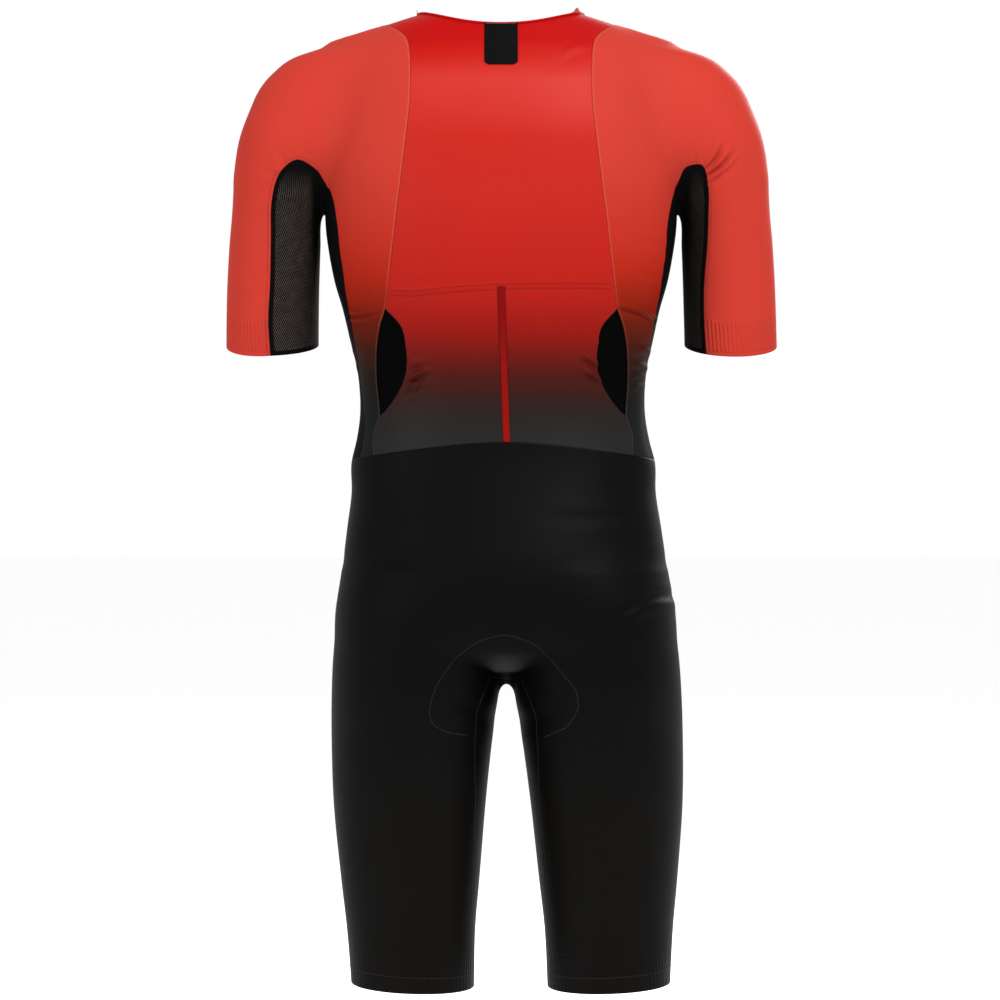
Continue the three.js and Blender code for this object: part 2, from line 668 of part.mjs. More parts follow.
// The pocket's black inner layer lies under the back panel and shows at the side openings.
// Each row runs from one side panel, past the panel's edge, to the other side panel.
const liningGrid = backGrid
  .map((row, i) => [row, i + TOP_RUNG])
  .filter(([, rung]) => rung >= POCKET_RUNG - 1)
  .map(([row, rung]) => [
    ...arms.left.back[rung].slice(LINING_FROM, -1),
    ...row.slice(1, -1),
    ...arms.right.back[rung].slice(LINING_FROM, -1).reverse(),
  ]);
suit.add(
  cloth("pocket_lining", quads(liningGrid), materials.lining, { thick: THIN, lift: -CLOTH - SEAM }),
);

// A point on the back panel by row and column, which need not be whole.
function onPanel(grid, row, column) {
  const i = Math.min(Math.floor(row), grid.length - 2);
  const j = Math.min(Math.floor(column), grid[0].length - 2);
  const across = (line, key) => line[j][key].clone().lerp(line[j + 1][key], column - j);
  const p = across(grid[i], "p").lerp(across(grid[i + 1], "p"), row - i);
  const n = across(grid[i], "n").lerp(across(grid[i + 1], "n"), row - i).normalize();
  return { p, n };
}
// The row and column of the back panel at a place seen from behind.
function findOnBack(x, z) {
  let row = 1;
  let column = backColumns / 2;
  for (let i = 0; i < 40; i += 1) {
    const here = onPanel(backGrid, row, column).p;
    const down = onPanel(backGrid, Math.min(row + 0.5, backGrid.length - 1), column).p;
    const over = onPanel(backGrid, row, column + 0.5).p;
    row += (0.4 * (z - here.z)) / Math.min(down.z - here.z, -0.5);
    column += (0.4 * (x - here.x)) / (over.x - here.x);
    row = THREE.MathUtils.clamp(row, 0, backGrid.length - 1.01);
  }
  return onPanel(backGrid, row, column);
}

const tapeGrid = backGrid
  .map((_, i) => i + TOP_RUNG)
  .filter((rung) => rung >= POCKET_RUNG)
  .map((rung) =>
    [TAPE_HALF, -TAPE_HALF].map((x) => {
      const row = rung - TOP_RUNG;
      const middle = backColumns / 2;
      const step = backGrid[row][middle].p.x - backGrid[row][middle + 1].p.x;
      return onPanel(backGrid, row, middle - x / step);
    }),
  );
suit.add(cloth("pocket_tape", quads(tapeGrid), materials.tape, { thick: THIN, lift: SEAM + THIN }));

const labelRows = 5;
const labelGrid = spread(0, 1, labelRows).map((t) => {
  const z = LABEL.top + (LABEL.bottom - LABEL.top) * (t === 1 ? 1 : t * 1.12);
  const half = t === 1 ? LABEL.half - LABEL.corner : LABEL.half;
  return spread(half, -half, 4).map((x) => findOnBack(x, Math.max(z, LABEL.bottom)));
});
suit.add(
  cloth("neck_label", quads(labelGrid), materials.label, {
    thick: THIN,
    lift: 2 * SEAM + THIN,
  }),
);

// The front is in two halves, with the zip between them.
function frontPanel(side) {
  const ladder = side > 0 ? arms.left : arms.right;
  const edge = raglan(ladder.front);
  const seam = side > 0 ? shoulderSeam : shoulderSeamRight;
  const lastAngle = -90 + zipAngle;
  const neck = spread(0, lastAngle, NECK_COLUMNS).map((angle) =>
    neckline(side > 0 ? angle : -180 - angle),
  );
  neck[0] = seam.at(-1);
  const top = [...seam.slice(0, -1), ...neck];
  const bottomFrom = side > 0 ? -RAGLAN_AT_WAIST : -180 + RAGLAN_AT_WAIST;
  const bottomTo = -90 + side * waistZipAngle;
  const bottom = spread(bottomFrom, bottomTo, top.length - 1).map((angle) => waist(angle));
  return fallen(edge).map((share, k) => {
    if (k === 0) return top;
    if (k === edge.length - 1) return bottom;
    const z = THREE.MathUtils.lerp(neck.at(-1).p.z, bottom.at(-1).p.z, share);
    return across(edge[k], zipPoint(side * ZIP.edge, z), top.length - 1);
  });
}
function zipPoint(x, z) {
  return vertex(reach(new THREE.Vector3(x, -6, z), new THREE.Vector3(0, -1, 0)));
}
// The turn round the neck and round the waist from the middle of the front to the zip's edge.
const zipAngle = Math.asin(ZIP.edge / NECK.half) / RAD;
const waistZipAngle = Math.atan2(ZIP.edge, -waist(-90).p.y) / RAD;
const fronts = { left: frontPanel(1), right: frontPanel(-1) };
suit.add(
  cloth("front_left", quads(fronts.left), materials.red),
  cloth("front_right", quads(fronts.right), materials.red),
);

// The bound edge round the neck, from one side of the zip to the other.
const bindingAngles = [
  ...spread(-90 + zipAngle, 0, NECK_COLUMNS).slice(0, -1),
  ...[-NUB.reach, 0, NUB.reach],
  ...spread(0, 180, 2 * NECK_COLUMNS).slice(1, -1),
  ...[180 - NUB.reach, 180, 180 + NUB.reach],
  ...spread(180, 270 - zipAngle, NECK_COLUMNS).slice(1),
];
const bindingGrid = [0, 1].map((up) =>
  bindingAngles.map((angle) => {
    const nub = angle % 180 === 0 ? NUB.height : 0;
    return neckline(angle, up ? BINDING + nub : BINDING_FOOT);
  }),
);
suit.add(cloth("neck_binding", quads(bindingGrid), materials.red));

// The zip's closed chain of teeth, as one strip.
const zipRows = 16;
const zipBottom = waist(-90).p.z;
const zipGrid = spread(ZIP.top, zipBottom, zipRows).map((z) =>
  [-ZIP.half, 0, ZIP.half].map((x) => zipPoint(x, z)),
);
suit.add(
  cloth("zip_chain", quads(zipGrid), materials.zip, { thick: ZIP.thick, lift: 0.2 }),
);

const legs = { left: legLadder() };
legs.right = mirrored(legs.left);
const hem = LEG_COLUMNS + INNER_COLUMNS;
const seatRows = { rows: [CROTCH_RUNG, LEG_RUNGS.length - 1], columns: [0, INNER_COLUMNS] };
const legRows = { columns: [INNER_COLUMNS, hem] };
const innerRows = { rows: [0, CROTCH_RUNG], columns: [0, INNER_COLUMNS] };
suit.add(
  cloth(
    "shorts_back",
    [
      ...quads(legs.left.back, legRows),
      ...quads(legs.left.back, seatRows),
      ...quads(legs.right.back, legRows),
      ...quads(legs.right.back, seatRows),
    ],
    materials.black,
  ),
);
for (const [side, ladder] of Object.entries(legs)) {
  suit.add(
    cloth(
      `shorts_front_${side}`,
      [...quads(ladder.front, legRows), ...quads(ladder.front, seatRows)],
      materials.black,
    ),
    cloth(
      `inner_leg_${side}`,
      [...quads(ladder.back, innerRows), ...quads(ladder.front, innerRows), ...gusset(ladder)],
      materials.black,
    ),
  );
}

// The seat pad, inside the shorts between the legs.
const padArea = { rows: [PAD_RUNGS.first, PAD_RUNGS.last], columns: [0, PAD_COLUMNS] };
const padFaces = Object.values(legs).flatMap((ladder) => [
  ...quads(ladder.back, padArea),
  ...quads(ladder.front, padArea),
  ...gusset(ladder),
]);
suit.add(cloth("seat_pad", padFaces, materials.foam, { thick: PAD, lift: -CLOTH - PAD_LIFT }));

// Hard parts are shapes drawn in a frame on the zip: x across, y up along it and z out of it.
const kernel = await Module();
kernel.setup();
function solid(geometry) {
  const bare = geometry.clone();
  bare.deleteAttribute("normal");
  bare.deleteAttribute("uv");
  const merged = mergeVertices(bare, 1e-4);
  return new kernel.Manifold(
    new kernel.Mesh({
      numProp: 3,
      vertProperties: new Float32Array(merged.attributes.position.array),
      triVerts: new Uint32Array(merged.index.array),
    }),
  );
}
function hardPart(name, body, material) {
  const result = body.getMesh();
  const geometry = new THREE.BufferGeometry();
  geometry.setAttribute("position", new THREE.Float32BufferAttribute(result.vertProperties, 3));
  geometry.setIndex([...result.triVerts]);
  const mesh = new THREE.Mesh(geometry, material);
  mesh.name = name;
  return mesh;
}
const outline = (points) => new THREE.Shape(points.map(([x, y]) => new THREE.Vector2(x, y)));
function slab(shape, depth, bevel = 0) {
  const geometry = new THREE.ExtrudeGeometry(shape, {
    depth: depth - 2 * bevel,
    bevelEnabled: bevel > 0,
    bevelThickness: bevel,
    bevelSize: bevel,
    bevelOffset: -bevel,
    bevelSegments: 1,
    curveSegments: 6,
  });
  return geometry.translate(0, 0, bevel);
}

const seat = zipPoint(0, SLIDER.z);
const out = seat.n.clone().setX(0).normalize();
const onZip = new THREE.Matrix4()
  .makeBasis(new THREE.Vector3(1, 0, 0), out.clone().cross(new THREE.Vector3(1, 0, 0)), out)
  .setPosition(leaned(seat.p));

const half = SLIDER.length / 2;
const plateShape = outline([
  [-SLIDER.narrow + 0.8, -half],
  [SLIDER.narrow - 0.8, -half],
  [SLIDER.narrow, -half + 0.8],
  [SLIDER.wide, half * 0.35],
  [SLIDER.wide, half - 1.4],
  [SLIDER.wide - 1.4, half],
  [-SLIDER.wide + 1.4, half],
  [-SLIDER.wide, half - 1.4],
  [-SLIDER.wide, half * 0.35],
  [-SLIDER.narrow, -half + 0.8],
]);
const plate = slab(plateShape, SLIDER.plate, SLIDER.bevel).translate(0, 0, SLIDER.lift);
// The bridge is drawn from the side and holds the tab's bar in its opening.
const reachY = BRIDGE.length / 2;
const bridgeTop = BRIDGE.opening + BRIDGE.top;
const bridgeShape = outline([
  [-reachY, -0.6],
  [reachY, -0.6],
  [reachY, bridgeTop - 1.2],
  [reachY - 1.2, bridgeTop],
  [-reachY + 1.2, bridgeTop],
  [-reachY, bridgeTop - 1.2],
]);
const openY = reachY - BRIDGE.leg;
bridgeShape.holes.push(
  outline([
    [-openY, 0.3],
    [-openY, BRIDGE.opening],
    [openY, BRIDGE.opening],
    [openY, 0.3],
  ]),
);
const bridge = slab(bridgeShape, BRIDGE.wide)
  .translate(0, 0, -BRIDGE.wide / 2)
  .applyMatrix4(
    new THREE.Matrix4().makeBasis(
      new THREE.Vector3(0, 1, 0),
      new THREE.Vector3(0, 0, 1),
      new THREE.Vector3(1, 0, 0),
    ),
  )
  .translate(0, 0, SLIDER.lift + SLIDER.plate);
suit.add(
  hardPart(
    "zip_slider",
    solid(plate.applyMatrix4(onZip)).add(solid(bridge.applyMatrix4(onZip))),
    materials.metal,
  ),
);

// The tab hangs by its bar, with its foot turned in towards the chest.
const barHeight = SLIDER.lift + SLIDER.plate + 0.3 + (BRIDGE.opening - 0.3) / 2;
const tabShape = outline([
  [-TAB.top, TAB.bar / 2],
  [-TAB.top, -TAB.window],
  [-TAB.foot, -TAB.length + 4],
  [-TAB.foot + 1.2, -TAB.length + 1.2],
  [-TAB.foot + 2.6, -TAB.length + TAB.bar / 2],
  [TAB.foot - 2.6, -TAB.length + TAB.bar / 2],
  [TAB.foot - 1.2, -TAB.length + 1.2],
  [TAB.foot, -TAB.length + 4],
  [TAB.top, -TAB.window],
  [TAB.top, TAB.bar / 2],
]);
const windowHalf = TAB.top - TAB.side;
tabShape.holes.push(
  outline([
    [-windowHalf, -TAB.bar / 2],
    [windowHalf, -TAB.bar / 2],
    [windowHalf, -TAB.window],
    [-windowHalf, -TAB.window],
  ]),
);
const tab = slab(tabShape, TAB.thick, 0.2)
  .translate(0, 0, -TAB.thick / 2)
  .rotateX(TAB.droop * RAD)
  .translate(0, 0, barHeight)
  .applyMatrix4(onZip);
suit.add(hardPart("pull_tab", solid(tab), materials.metal));

export default suit;
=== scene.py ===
# A short-sleeved triathlon suit, filled out and seen from behind, its sleeves hanging.
# Metres in Blender, millimetres in the tables here, +Z up, the chest faces -Y, the back faces +Y.
import math

import bpy
import numpy as np
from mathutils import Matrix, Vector


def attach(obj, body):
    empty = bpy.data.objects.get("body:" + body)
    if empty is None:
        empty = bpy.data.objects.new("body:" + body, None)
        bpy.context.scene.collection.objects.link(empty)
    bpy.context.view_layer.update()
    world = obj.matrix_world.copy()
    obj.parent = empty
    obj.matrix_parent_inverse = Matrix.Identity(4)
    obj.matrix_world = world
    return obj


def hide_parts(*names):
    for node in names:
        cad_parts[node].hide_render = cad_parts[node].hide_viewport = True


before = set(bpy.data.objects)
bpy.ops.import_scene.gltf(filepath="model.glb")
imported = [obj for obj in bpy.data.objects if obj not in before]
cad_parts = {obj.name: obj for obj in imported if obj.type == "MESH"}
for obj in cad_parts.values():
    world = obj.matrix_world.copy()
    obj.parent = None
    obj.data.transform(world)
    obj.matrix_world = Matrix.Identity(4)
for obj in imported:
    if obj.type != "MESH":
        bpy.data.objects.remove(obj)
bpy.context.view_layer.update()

MM = 0.001
BACK, FRONT = 1, -1
LEFT, RIGHT = 1, -1

# Sizes of the outer form, from the lowest section up, as the panels are cut.
SECTION = ("z", "middle", "half", "front", "back", "power")
TRUNK = [
    (-641, 0, 14, -12, 20, 2.0),
    (-636, 0, 56, -40, 46, 2.0),
    (-627, 0, 98, -64, 76, 2.05),
    (-617, 0, 124, -78, 98, 2.1),
    (-600, 0, 142, -86, 113, 2.2),
    (-565, 0, 157, -93, 121, 2.3),
    (-532, 0, 160, -97, 118, 2.3),
    (-501, 0, 157, -99, 109, 2.3),
    (-463, 0, 152, -99, 97, 2.3),
    (-434, 0, 152, -99, 89, 2.3),
    (-410, 0, 146.5, -98, 85, 2.3),
    (-388, 0, 143, -98, 83, 2.3),
    (-366, 0, 142.5, -100, 84, 2.3),
    (-340, 0, 145, -104, 88, 2.3),
    (-310, 0, 151.7, -109, 94, 2.3),
    (-280, 0, 158.5, -114, 100, 2.35),
    (-250, 0, 167, -118, 106, 2.4),
    (-210, 0, 174, -121, 112, 2.4),
    (-186, 0, 175.8, -121, 115, 2.4),
    (-120, 0, 177, -114, 117, 2.4),
    (-70, 0, 172, -98, 106, 2.3),
    (-40, 0, 168, -84, 92, 2.2),
    (-24, 0, 159, -76, 84, 2.1),
    (-12, 0, 143, -68, 76, 2.05),
    (0, 0, 121, -61, 69, 2.0),
    (9, 0, 95, -57, 63, 2.0),
    (14, 0, 77, -55, 60, 2.0),
    (45, 0, 60, -52, 54, 2.0),
]
ARM = [
    (-350, 232.8, 46.8, -96, 0, 2.0),
    (-322, 232.3, 46.7, -90, 6, 2.0),
    (-260, 230.2, 46.4, -79, 19, 2.0),
    (-216, 227.6, 45.8, -71, 30, 2.0),
    (-186, 225.3, 44.9, -68, 40, 2.0),
    (-165, 219.0, 49.5, -66, 47, 2.0),
    (-145, 213.5, 54.0, -65, 53, 2.0),
    (-110, 204.0, 57.5, -62, 60, 2.0),
    (-80, 195.0, 55.5, -57, 58, 2.0),
    (-60, 187.0, 54.0, -50, 52, 2.0),
    (-45, 178.0, 50.0, -42, 46, 2.0),
    (-30, 163.0, 43.0, -30, 36, 2.0),
    (-20, 144.0, 27.0, -16, 22, 2.0),
]
THIGH = [
    (-985, 98.0, 61.0, -63, 59, 2.1),
    (-951, 98.1, 61.6, -66, 60, 2.1),
    (-898, 98.9, 64.3, -72, 63, 2.1),
    (-848, 99.0, 69.3, -79, 68, 2.1),
    (-773, 98.5, 76.0, -87, 78, 2.1),
    (-706, 95.0, 80.5, -92, 90, 2.1),
    (-654, 90.5, 83.5, -92, 105, 2.1),
    (-620, 88.0, 83.5, -92, 112, 2.1),
    (-580, 84.0, 82.0, -90, 114, 2.1),
    (-540, 78.0, 70.0, -80, 100, 2.1),
]
ARMPIT_BLEND = 7
SHOULDER_BLEND = 38
ARMPIT_Z = -184
SHOULDER_Z = -120
HIP_BLEND = 26
CROTCH_BLEND = 18
LEAN = 0.0145
LEAN_FROM = -280
LEAN_BEND = 40

# Rungs run across a sleeve, or a leg, from its inside line to its outside line.
ARM_RUNG = ("innerX", "innerZ", "outerX", "outerZ", "y", "tilt", "share", "wide", "narrow")
ARM_RUNGS = [
    (185.6, -313, 279.0, -313, -42, 12, 0.5, 45.5, 19),
    (184.2, -284, 277.3, -278, -35, 12, 0.5, 47.5, 18),
    (182.8, -255, 274.3, -238, -27, 11, 0.5, 46, 18.5),
    (181.6, -219, 269.0, -188, -16, 9, 0.5, 46.5, 22.5),
    (181.0, -197, 266.4, -145, -7, 6, 0.5, 50, 26),
    (180.4, -190.5, 258.5, -97, 0, 3, 0.5, 56, 35.7),
    (179.8, -188, 232.0, -54, 4, 0, 0.5, 56, 50),
    (179.3, -187, 188.0, -26, 6, 0, 0.5, 42, 44),
    (178.8, -186.5, 153.0, -12, 6, 0, 0.5, 31, 30),
    (178.4, -186.5, 124.0, -1, 6, 0, 0.5, 26, 24),
    (178.0, -187, 105.5, -5, 6, 0, 0.6, 25, 20.5),
    (177.6, -188.5, 91.8, -20, 6, 0, 0.75, 23, 18.5),
    (177.2, -191, 88.5, -45, 4, 0, 0.9, 22, 17.5),
    (176.6, -196, 88.3, -80, 2, 0, 1, 21, 16.5),
    (175.6, -203, 92.0, -118, 0, 0, 1, 19, 15.5),
    (174.2, -213, 97.0, -158, -2, 0, 1, 17, 13.5),
    (171.8, -231, 102.0, -195, -4, 0, 1, 15, 10.8),
    (166.5, -254, 106.0, -228, -6, 0, 1, 12.5, 8.3),
    (159.3, -277, 110.0, -259, -7, 0, 1, 7.7, 4.5),
    (153.5, -302, 113.5, -283, -8, 0, 1, 6.2, 3.4),
    (150.0, -318, 119.5, -301, -8, 0, 1, 5.5, 3),
    (147.0, -334, 122.8, -320, -8, 0, 1, 5, 2.8),
    (144.6, -350, 123.8, -338, -8, 0, 1, 4.6, 2.6),
    (143.0, -366, 123.5, -355, -8, 0, 1, 4.5, 2.6),
    (142.8, -381, 122.2, -371, -8, 0, 1, 5.5, 2.8),
    (143.4, -396, 121.4, -387, -8, 0, 1, 7.5, 3.2),
    (147.0, -413, 127.0, -406, -7, 0, 1, 9.5, 5),
]
TOP_RUNG = 9
POCKET_RUNG = 18
LEG_RUNG = ("innerX", "innerZ", "outerX", "outerZ", "y", "tilt", "seam", "panel")
LEG_RUNGS = [
    (36.5, -955.5, 159.6, -951, -3, 1, 150, 5),
    (35.0, -924, 162.3, -915, -4, 0, 154, 5),
    (31.6, -886, 166.5, -872, -5, 0, 160, 6),
    (27.6, -848, 170.8, -830, -5, 0, 170, 8),
    (23.4, -808, 174.0, -788, -4, 0, 180, 10.5),
    (18.8, -769, 175.3, -744, -3, 0, 186, 13),
    (14.6, -733, 175.6, -704, 0, 0, 190, 17),
    (10.6, -702, 174.6, -668, 3, 0, 192, 20),
    (6.4, -675, 172.6, -637, 6, 0, 192, 20),
    (0, -648.5, 170.6, -612, 8, 0, 192, 16),
    (0, -643.5, 168.6, -592, 8, 0, 192, 16),
    (0, -638.5, 166.2, -572, 8, 0, 192, 17),
    (0, -631, 163.3, -551, 8, 0, 192, 18),
    (0, -614, 160.0, -529, 7, 0, 192, 20),
    (0, -586, 156.4, -507, 4, 0, 192, 22),
    (0, -549, 153.0, -483, 0, 0, 191, 24),
    (0, -506, 151.8, -461, -4, 0, 189, 26),
    (0, -461, 152.2, -445, -5, 0, 188, 28),
]
CROTCH_RUNG = 9
PAST_INNER = 2
WIDEST, HALF_TURN = 110, 180
WAIST = {"middle": -413.5, "side": -430.5, "sharpness": 1.43}
RAGLAN_AT_WAIST = 24.5
MESH_AT_WAIST = {"wide": 15.5, "narrow": 11}
SEAM_AT_WAIST = -7
INNER_AT_WAIST = 0.2
NECK = {"half": 79, "shoulder": 6, "back": -15.5, "front": -60, "backY": 63, "frontY": -84}
NECK_ROOT = -80
BACK_BOW, FRONT_BOW = 2.6, 1.3
SCOOP_CURVE = [
    (-387, 119),
    (-371, 106),
    (-355, 97),
    (-338, 93),
    (-320, 93.7),
    (-301, 98),
    (-283, 113.5),
]

# How finely the pieces are made, and how thick the cloth looks.
COLUMNS = {"underarm": 16, "sleeve": 40, "inner": 12, "leg": 44}
ARM_STEP = 3.2
TAIL_STEP = 1.7
TAIL_RUNGS = (17, 23)
LEG_STEP = 3.6
WALL = 0.9
SHOULDER_COLUMNS = 14
NECK_COLUMNS = 36
TOP_ROWS = 14
GUSSET_COLUMNS = 12
ROW_BOW = 3
MARCHES, HALVINGS, ANGLE_HALVINGS = 200, 20, 16
STRIDE, SHORTEST, LONGEST = 0.7, 0.6, 40
LEAST_GAP = 0.05
SAME = 0.02


def ease(t):
    """The shares of two ends, and of their slopes, in the smooth curve between them at t."""
    return 2 * t**3 - 3 * t**2 + 1, t**3 - 2 * t**2 + t, 3 * t**2 - 2 * t**3, t**3 - t**2


class Sections:
    """A table whose columns run smoothly from row to row."""

    def __init__(self, names, rows):
        self.names = names
        self.rows = np.array(rows, float)
        before = np.vstack([self.rows[:1], self.rows[:-1]])
        after = np.vstack([self.rows[1:], self.rows[-1:]])
        self.slopes = (after - before) / (after - before)[:, :1]

    def at(self, z):
        z = np.asarray(z, float)
        levels = self.rows[:, 0]
        held = np.clip(z, levels[0], levels[-1])
        i = np.clip(np.searchsorted(levels, held, side="left") - 1, 0, len(levels) - 2)
        span = levels[i + 1] - levels[i]
        low, leave, high, arrive = ease((held - levels[i]) / span)
        found = {}
        for c, name in enumerate(self.names):
            slope_a, slope_b = self.slopes[i, c] * span, self.slopes[i + 1, c] * span
            a, b = self.rows[i, c], self.rows[i + 1, c]
            found[name] = low * a + leave * slope_a + high * b + arrive * slope_b
        found["beyond"] = np.abs(z - held)
        return found


trunk = Sections(SECTION, TRUNK)
arm = Sections(SECTION, ARM)
thigh = Sections(SECTION, THIGH)
scoop = Sections(("z", "half"), SCOOP_CURVE)


def smooth(x, low, high):
    t = np.clip((x - low) / (high - low), 0, 1)
    return t * t * (3 - 2 * t)


def bell(x):
    return np.exp(-(x**2))


def oval(x, y, section):
    depth = (section["back"] - section["front"]) / 2
    u = np.abs(x - section["middle"]) / section["half"]
    v = np.abs(y - (section["back"] + section["front"]) / 2) / depth
    power = section["power"]
    away = ((u**power + v**power) ** (1 / power) - 1) * np.minimum(section["half"], depth)
    return np.where(section["beyond"] > 0, np.maximum(away, 0) + section["beyond"], away)


def melt(a, b, reach):
    near = np.maximum(reach - np.abs(a - b), 0) / reach
    return np.minimum(a, b) - near * near * reach / 4


def form(p):
    """Below 0 inside the filled suit, 0 on its cloth."""
    x, y, z = np.abs(p[..., 0]), p[..., 1], p[..., 2]
    leg = thigh.at(z)
    legs = melt(oval(x, y, leg), oval(-x, y, leg), CROTCH_BLEND)
    body = melt(oval(x, y, trunk.at(z)), legs, HIP_BLEND)
    blend = ARMPIT_BLEND + (SHOULDER_BLEND - ARMPIT_BLEND) * smooth(z, ARMPIT_Z, SHOULDER_Z)
    return melt(body, oval(x, y, arm.at(z)), blend)


def slope(p, step=0.5):
    parts = []
    for axis in range(3):
        shift = np.zeros(3)
        shift[axis] = step
        parts.append((form(p + shift) - form(p - shift)) / (2 * step))
    return np.stack(parts, -1)


def unit(v):
    return v / np.maximum(np.linalg.norm(v, axis=-1, keepdims=True), 1e-9)


def settle(p, times=4):
    """Moves points that are near the form onto it."""
    q = np.array(p, float)
    for _ in range(times):
        g = slope(q)
        pull = form(q) / np.maximum((g * g).sum(-1), 0.05)
        q -= g * pull[..., None]
    return q


def reach(origin, direction, shape=form):
    """Where rays from inside leave the form."""
    origin, direction = np.broadcast_arrays(origin, direction)
    far = np.zeros(origin.shape[:-1])
    near = np.zeros_like(far)
    inside = np.ones(far.shape, bool)
    for _ in range(MARCHES):
        value = shape(origin + direction * far[..., None])
        inside &= value < 0
        if not inside.any():
            break
        near = np.where(inside, far, near)
        far = np.where(inside, far + np.clip(-STRIDE * value, SHORTEST, LONGEST), far)
    for _ in range(HALVINGS):
        middle = (near + far) / 2
        within = shape(origin + direction * middle[..., None]) < 0
        near = np.where(within, middle, near)
        far = np.where(within, far, middle)
    return origin + direction * ((near + far) / 2)[..., None]


def stepped(line, wanted):
    """Points of a line at the lengths that wanted gives for its whole length."""
    gaps = np.linalg.norm(np.diff(line, axis=0), axis=-1)
    along = np.concatenate([[0], np.cumsum(gaps)])
    at = wanted(along[-1])
    return np.stack([np.interp(at, along, line[:, k]) for k in range(3)], -1)


def even(lines, columns):
    """Points at equal steps along each line."""

    def wanted(size):
        return np.linspace(0, size, columns + 1)

    return np.array([stepped(line, wanted) for line in lines])


class Rungs:
    """The lines in which planes through inner and outer points cut the form."""

    def __init__(self, names, rows):
        table = np.array(rows, float)
        self.column = {name: table[:, c] for c, name in enumerate(names)}
        zero = np.zeros(len(table))
        self.inside = np.stack([self.column["innerX"], zero, self.column["innerZ"]], -1)
        outer = np.stack([self.column["outerX"], zero, self.column["outerZ"]], -1)
        self.length = np.linalg.norm(outer - self.inside, axis=-1)
        self.across = (outer - self.inside) / self.length[:, None]
        tilt = np.radians(self.column["tilt"])
        self.backward = np.stack([zero, np.cos(tilt), -np.sin(tilt)], -1)
        share = self.column.get("share", np.full(len(table), 0.5))
        self.centre = self.inside + self.across * (share * self.length)[:, None]
        self.centre[:, 1] = self.column["y"]

    def distance(self, p):
        inside = self.inside.reshape((-1,) + (1,) * (p.ndim - 2) + (3,))
        across = self.across.reshape(inside.shape)
        return ((p - inside) * across).sum(-1)

    def at(self, angles):
        """Points at these degrees, rows of rungs by columns of angles."""
        turn = np.radians(angles)[..., None]
        across = self.across[:, None, :]
        direction = -across * np.cos(turn) + self.backward[:, None, :] * np.sin(turn)
        start = np.broadcast_to(self.centre[:, None, :], direction.shape)

        def cut(p):
            return np.maximum(form(p), -PAST_INNER - self.distance(p))

        return reach(start, direction, cut)

    def angle_at(self, distance, side, limit):
        low = np.zeros(len(self.length))
        high = np.full(len(self.length), float(limit))
        for _ in range(ANGLE_HALVINGS):
            middle = (low + high) / 2
            short = self.distance(self.at((side * middle)[:, None]))[:, 0] < distance
            low = np.where(short, middle, low)
            high = np.where(short, high, middle)
        return side * (low + high) / 2

    def line(self, start, end, columns):
        fine = 3 * columns
        angles = start[:, None] + (end - start)[:, None] * np.linspace(0, 1, fine + 1)[None, :]
        return even(self.at(angles), columns)


def waist(angles):
    turn = np.radians(angles)
    share = np.abs(np.sin(turn)) ** WAIST["sharpness"]
    z = WAIST["side"] + (WAIST["middle"] - WAIST["side"]) * share
    section = trunk.at(z)
    centre = np.stack([0 * z, (section["front"] + section["back"]) / 2, z], -1)
    return reach(centre, np.stack([np.cos(turn), np.sin(turn), 0 * z], -1))


def neckline(angles):
    turn = np.radians(angles)
    side, up = np.cos(turn), np.sin(turn)
    back = NECK["back"] + (NECK["shoulder"] - NECK["back"]) * np.abs(side) ** BACK_BOW
    front = NECK["shoulder"] - (NECK["shoulder"] - NECK["front"]) * np.abs(up) ** FRONT_BOW
    y = up * np.where(up >= 0, NECK["backY"], -NECK["frontY"])
    root = np.zeros(turn.shape + (3,))
    root[..., 2] = NECK_ROOT
    aim = np.stack([NECK["half"] * side, y, np.where(up >= 0, back, front)], -1)
    return reach(root, unit(aim - root))


def lengthwise(grid, steps, counts=None):
    """More rows between the rows of a grid, on smooth curves through them."""
    gaps = np.maximum(np.linalg.norm(np.diff(grid, axis=0), axis=-1), LEAST_GAP)
    if counts is None:
        counts = np.maximum(1, np.ceil(np.quantile(gaps, 0.8, axis=1) / steps)).astype(int)
    along = np.vstack([np.zeros((1, grid.shape[1])), np.cumsum(gaps, 0)])
    before = np.concatenate([grid[:1], grid[:-1]])
    after = np.concatenate([grid[1:], grid[-1:]])
    spans = np.concatenate([along[1:], along[-1:]]) - np.concatenate([along[:1], along[:-1]])
    slopes = (after - before) / spans[..., None]
    rows = []
    for i, count in enumerate(counts):
        for k in range(count):
            low, leave, high, arrive = ease(k / count)
            gap = gaps[i][:, None]
            above = high * grid[i + 1] + arrive * gap * slopes[i + 1]
            rows.append(low * grid[i] + leave * gap * slopes[i] + above)
    rows.append(grid[-1])
    return np.array(rows), counts


